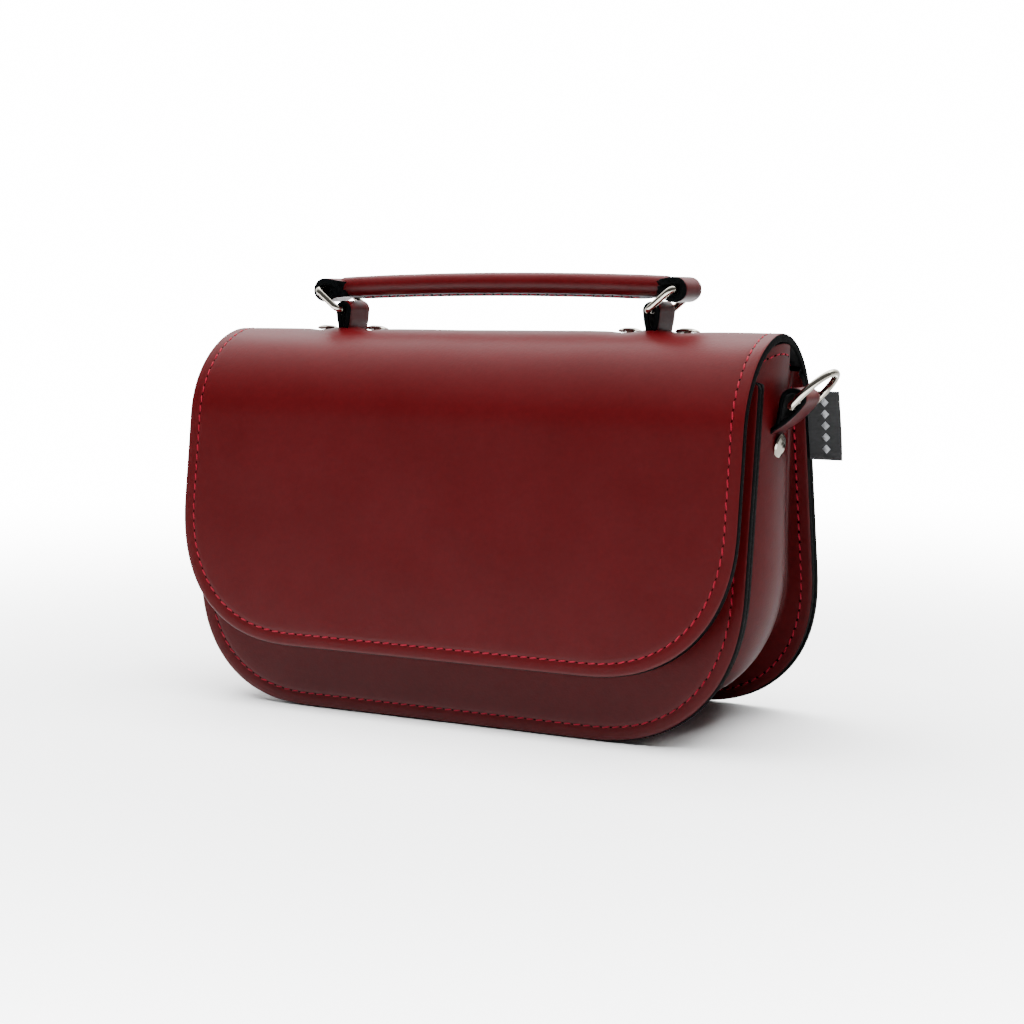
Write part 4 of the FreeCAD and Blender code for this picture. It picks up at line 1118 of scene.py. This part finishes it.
def make_label():
    """Folded woven tape, sewn in the back seam."""
    low, high = LABEL_LOW, LABEL_HIGH
    rows, columns = 22, 20
    reach = high.x - 0.5
    path = [(low.x + (reach - low.x) * k / (columns - 1), -TAPE_GAP / 2) for k in range(columns)]
    path += [(reach + FOLD_RADIUS * math.sin(turn), -TAPE_GAP / 2 * math.cos(turn))
             for turn in np.linspace(0.3, math.pi - 0.3, 6)]
    path += [(x, -off) for x, off in reversed(path[:columns])]
    heights = [low.z + (high.z - low.z) * row / (rows - 1) for row in range(rows)]
    points = [on_label(x, z, off) for z in heights for x, off in path]
    count = len(path)
    faces = [quad for first in range(0, (rows - 1) * count, count)
             for quad in strip_quads(first, first + count, count)]
    label = make_piece("label_tape", points, faces, [0] * len(faces), [TAPE])
    solid = label.modifiers.new("thickness", "SOLIDIFY")
    solid.thickness = TAPE_THICK * MM
    solid.offset = 0
    apply_modifiers(label)
    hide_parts("woven_label")
    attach(label, "bag")


def make_label_motif():
    """Raised woven diamonds down both faces of the label."""
    points, faces = [], []
    surface = (TAPE_GAP + TAPE_THICK) / 2
    for face in (-1, 1):
        for k in range(DIAMOND_COUNT):
            z = LABEL_LOW.z + 4.2 + DIAMOND_PITCH * k
            base = len(points)
            for off in (surface - 0.1, surface + 0.06):
                for across, up in ((-1, 0), (0, -1), (1, 0), (0, 1)):
                    points.append(on_label(DIAMOND_X + across * DIAMOND_HALF, z + up * DIAMOND_HALF,
                                           face * off))
            faces += [tuple(range(base, base + 4)), tuple(range(base + 4, base + 8))]
            faces += ring_quads(base, base + 4, 4)
    motif = make_piece("label_motif", points, faces, [0] * len(faces), [MOTIF])
    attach(motif, "bag")


def make_clasp_patch():
    """Leather washer behind the flap's magnet, with a stitched rim."""
    low, high = node_box("clasp_patch")
    centre = (low + high) / 2
    normal = Vector((0, *unit(1, -FLAP_LEAN)))
    up = Vector((0, *unit(FLAP_LEAN, 1)))
    side = Vector((1, 0, 0))
    radius = (high.x - low.x) / 2
    thick, hole, seam, spokes = 1.8, 2.0, 11.8, 56
    face = [(hole, thick), (5.0, thick), (10.5, thick), (seam, thick - 0.12), (13.2, thick)]
    rim = [(radius - 0.5, thick), (radius - 0.1, thick - 0.25), (radius, thick - 0.7)]
    rings = face + rim + [(radius, 0.0), (radius - 1, 0.0), (hole, 0.0)]
    points, faces, slots = [], [], []
    for ring, (reach, height) in enumerate(rings):
        for k in range(spokes):
            turn = 2 * math.pi * k / spokes
            points.append(centre + side * (reach * math.cos(turn)) + up * (reach * math.sin(turn))
                          + normal * (height - thick / 2))
        faces += ring_quads(ring * spokes, (ring + 1) % len(rings) * spokes, spokes)
        painted = 0 <= ring - len(face) < len(rim) or ring == len(rings) - 1
        slots += [EDGE_SLOT if painted else GRAIN_SLOT] * spokes
    patch = make_piece("clasp_patch_leather", points, faces, slots, HIDE_MATERIALS)
    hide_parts("clasp_patch")
    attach(patch, "flap")
    threads = Threads()
    circle = [(seam * math.cos(a), seam * math.sin(a)) for a in np.linspace(0, 2 * math.pi, 60)]
    threads.row(circle, lambda x, v, lift: centre + side * x + up * v + normal * (thick / 2 - 0.1 + lift))
    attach(threads.piece("clasp_patch_stitches"), "flap")


# ------------------------------------------------------------------ CAD pieces that stay
HARDWARE = ("ring_left", "ring_right", "d_ring_left", "d_ring_right", "mount_rivet_caps", "mount_rivet_backs",
            "side_rivet_caps", "side_rivet_backs", "panel_clasp", "panel_clasp_washer", "flap_clasp")


def finish_cad_nodes():
    """Nickel on the hardware, yarn on the cord inside the handle."""
    for node in (*HARDWARE, "handle_core"):
        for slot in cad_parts[node].material_slots:
            slot.link = "OBJECT"
            slot.material = NICKEL if node in HARDWARE else CORD


# ------------------------------------------------------------------ studio
FLOOR_Z = -0.4
FLOOR_HALF = 6000.0
TENT_RADIUS = 5500.0
TENT_Z = -0.36
TENT_TOP = 6000.0
TENT_SPOKES = 48
BACKDROP_LIGHT = 16.0
FADE_START, FADE_END = 0.15, 0.9
WORLD_LIGHT = 2.2
BRIGHT_SIDE = (-0.45, 0.70, 0.55)


def rectangle(x_low, x_high, y_low, y_high, z):
    return [(x_low, y_low, z), (x_high, y_low, z), (x_high, y_high, z), (x_low, y_high, z)]


def hide_from(piece, *rays):
    """Keeps an object out of these kinds of rays."""
    for ray in rays:
        setattr(piece, "visible_" + ray, False)


def make_floor():
    """Plain pale floor."""
    paper = Finish("pale_floor", (0.88, 0.885, 0.89), 0.6, specular=0.1)
    fibres = paper.texture("Noise", 4.0, Detail=2.0)
    dark, light = (0.875, 0.88, 0.885), (0.89, 0.895, 0.90)
    paper.vary("Base Color", fibres, (0.3, dark), (0.7, light))
    points = rectangle(-FLOOR_HALF, FLOOR_HALF, -FLOOR_HALF, FLOOR_HALF, FLOOR_Z)
    floor = make_piece("floor", points, [(0, 1, 2, 3)], [0], [paper.material])
    if floor.data.polygons[0].normal.z < 0:
        floor.data.flip_normals()


def make_flag():
    """Grey card on the floor beside the set, seen only in reflections: it calms the gusset."""
    felt = Finish("flag_grey", grey(0.26), 0.9)
    fibres = felt.texture("Noise", 30.0)
    felt.vary("Base Color", fibres, (0.3, grey(0.24)), (0.7, grey(0.28)))
    points = rectangle(92, 1500, -60, 2000, 1)
    flag = make_piece("flag", points, [(0, 1, 2, 3)], [0], [felt.material])
    hide_from(flag, "camera", "diffuse", "transmission", "shadow")


def make_backdrop():
    """White tent round the set.  Only the camera sees it, so it lights nothing; it fades in
    over the floor away from the object, like paper swept up behind it."""
    material = bpy.data.materials.new("backdrop_white")
    material.use_nodes = True
    tree = material.node_tree
    tree.nodes.remove(tree.nodes["Principled BSDF"])
    place = add_node(tree, "TexCoord").outputs["Object"]
    distance = add_node(tree, "VectorMath", {0: place}, operation="LENGTH").outputs["Value"]
    limits = {"Value": distance, "From Min": FADE_START, "From Max": FADE_END}
    fade = add_node(tree, "MapRange", limits, interpolation_type="SMOOTHSTEP").outputs["Result"]
    clear = add_node(tree, "BsdfTransparent").outputs["BSDF"]
    glow = add_node(tree, "Emission", {"Strength": BACKDROP_LIGHT}).outputs["Emission"]
    blend = add_node(tree, "MixShader", {"Fac": fade, 1: clear, 2: glow})
    tree.links.new(blend.outputs["Shader"], tree.nodes["Material Output"].inputs["Surface"])
    turns = [2 * math.pi * k / TENT_SPOKES for k in range(TENT_SPOKES)]
    points = [(0.0, 0.0, TENT_Z)]
    points += [(TENT_RADIUS * math.cos(turn), TENT_RADIUS * math.sin(turn), z)
               for z in (TENT_Z, TENT_TOP) for turn in turns]
    faces = [(0, 1 + k, 1 + (k + 1) % TENT_SPOKES) for k in range(TENT_SPOKES)]
    faces += ring_quads(1, 1 + TENT_SPOKES, TENT_SPOKES)
    faces.append(tuple(range(1 + TENT_SPOKES, 1 + 2 * TENT_SPOKES)))
    tent = make_piece("backdrop", points, faces, [0] * len(faces), [material])
    hide_from(tent, "diffuse", "glossy", "transmission", "shadow")


def make_world():
    """Dim surroundings that brighten towards one side, above and behind the object."""
    world = bpy.data.worlds.new("studio")
    world.use_nodes = True
    tree = world.node_tree
    place = add_node(tree, "TexCoord").outputs["Generated"]
    towards = {0: place, 1: Vector(BRIGHT_SIDE).normalized()}
    direction = add_node(tree, "VectorMath", towards, operation="DOT_PRODUCT").outputs["Value"]
    sky = add_ramp(tree, direction, (0.0, grey(0.05)), (0.5, grey(0.10)), (0.8, grey(1.0)))
    tree.links.new(sky, tree.nodes["Background"].inputs["Color"])
    tree.nodes["Background"].inputs["Strength"].default_value = WORLD_LIGHT
    bpy.context.scene.world = world


def area_light(name, place, target, size, power):
    light = bpy.data.lights.new(name, "AREA")
    light.shape = "RECTANGLE"
    light.size, light.size_y = size
    light.energy = power
    lamp = bpy.data.objects.new(name, light)
    lamp.location = place
    lamp.rotation_euler = (Vector(target) - Vector(place)).to_track_quat("-Z", "Y").to_euler()
    bpy.context.scene.collection.objects.link(lamp)
    return lamp


def make_camera():
    camera = bpy.data.objects.new("camera", bpy.data.cameras.new("camera"))
    camera.location = (0.3899, -0.6828, 0.1618)
    camera.rotation_euler = (math.radians(83.81), 0.0, math.radians(29.23))
    camera.data.lens = 70.56
    camera.data.sensor_width = 36.0
    camera.data.clip_start = 0.01
    bpy.context.scene.collection.objects.link(camera)
    bpy.context.scene.camera = camera


def make_studio():
    """Floor, backdrop, soft lights and the camera; lights and camera are placed in metres."""
    make_floor()
    make_flag()
    make_backdrop()
    make_world()
    overhead = area_light("overhead", (0.0, -0.05, 1.2), (0, 0, 0.0), (1.8, 1.4), 110.0)
    hide_from(overhead, "glossy")
    area_light("highlight", (-0.1, 0.55, 0.9), (0, 0, 0.12), (1.3, 0.4), 6.5)
    area_light("side_strip", (1.1, 0.75, 0.25), (0.1, 0, 0.08), (0.12, 0.6), 0.04)
    make_camera()


make_studio()
make_hide()
make_front_panel()
make_seams()
make_gusset()
for side, sign in (("left", -1), ("right", 1)):
    make_mount_strap(side, sign)
    make_side_tab(side, sign)
    make_end_loop(side, sign)
make_handle()
make_label()
make_label_motif()
make_clasp_patch()
finish_cad_nodes()
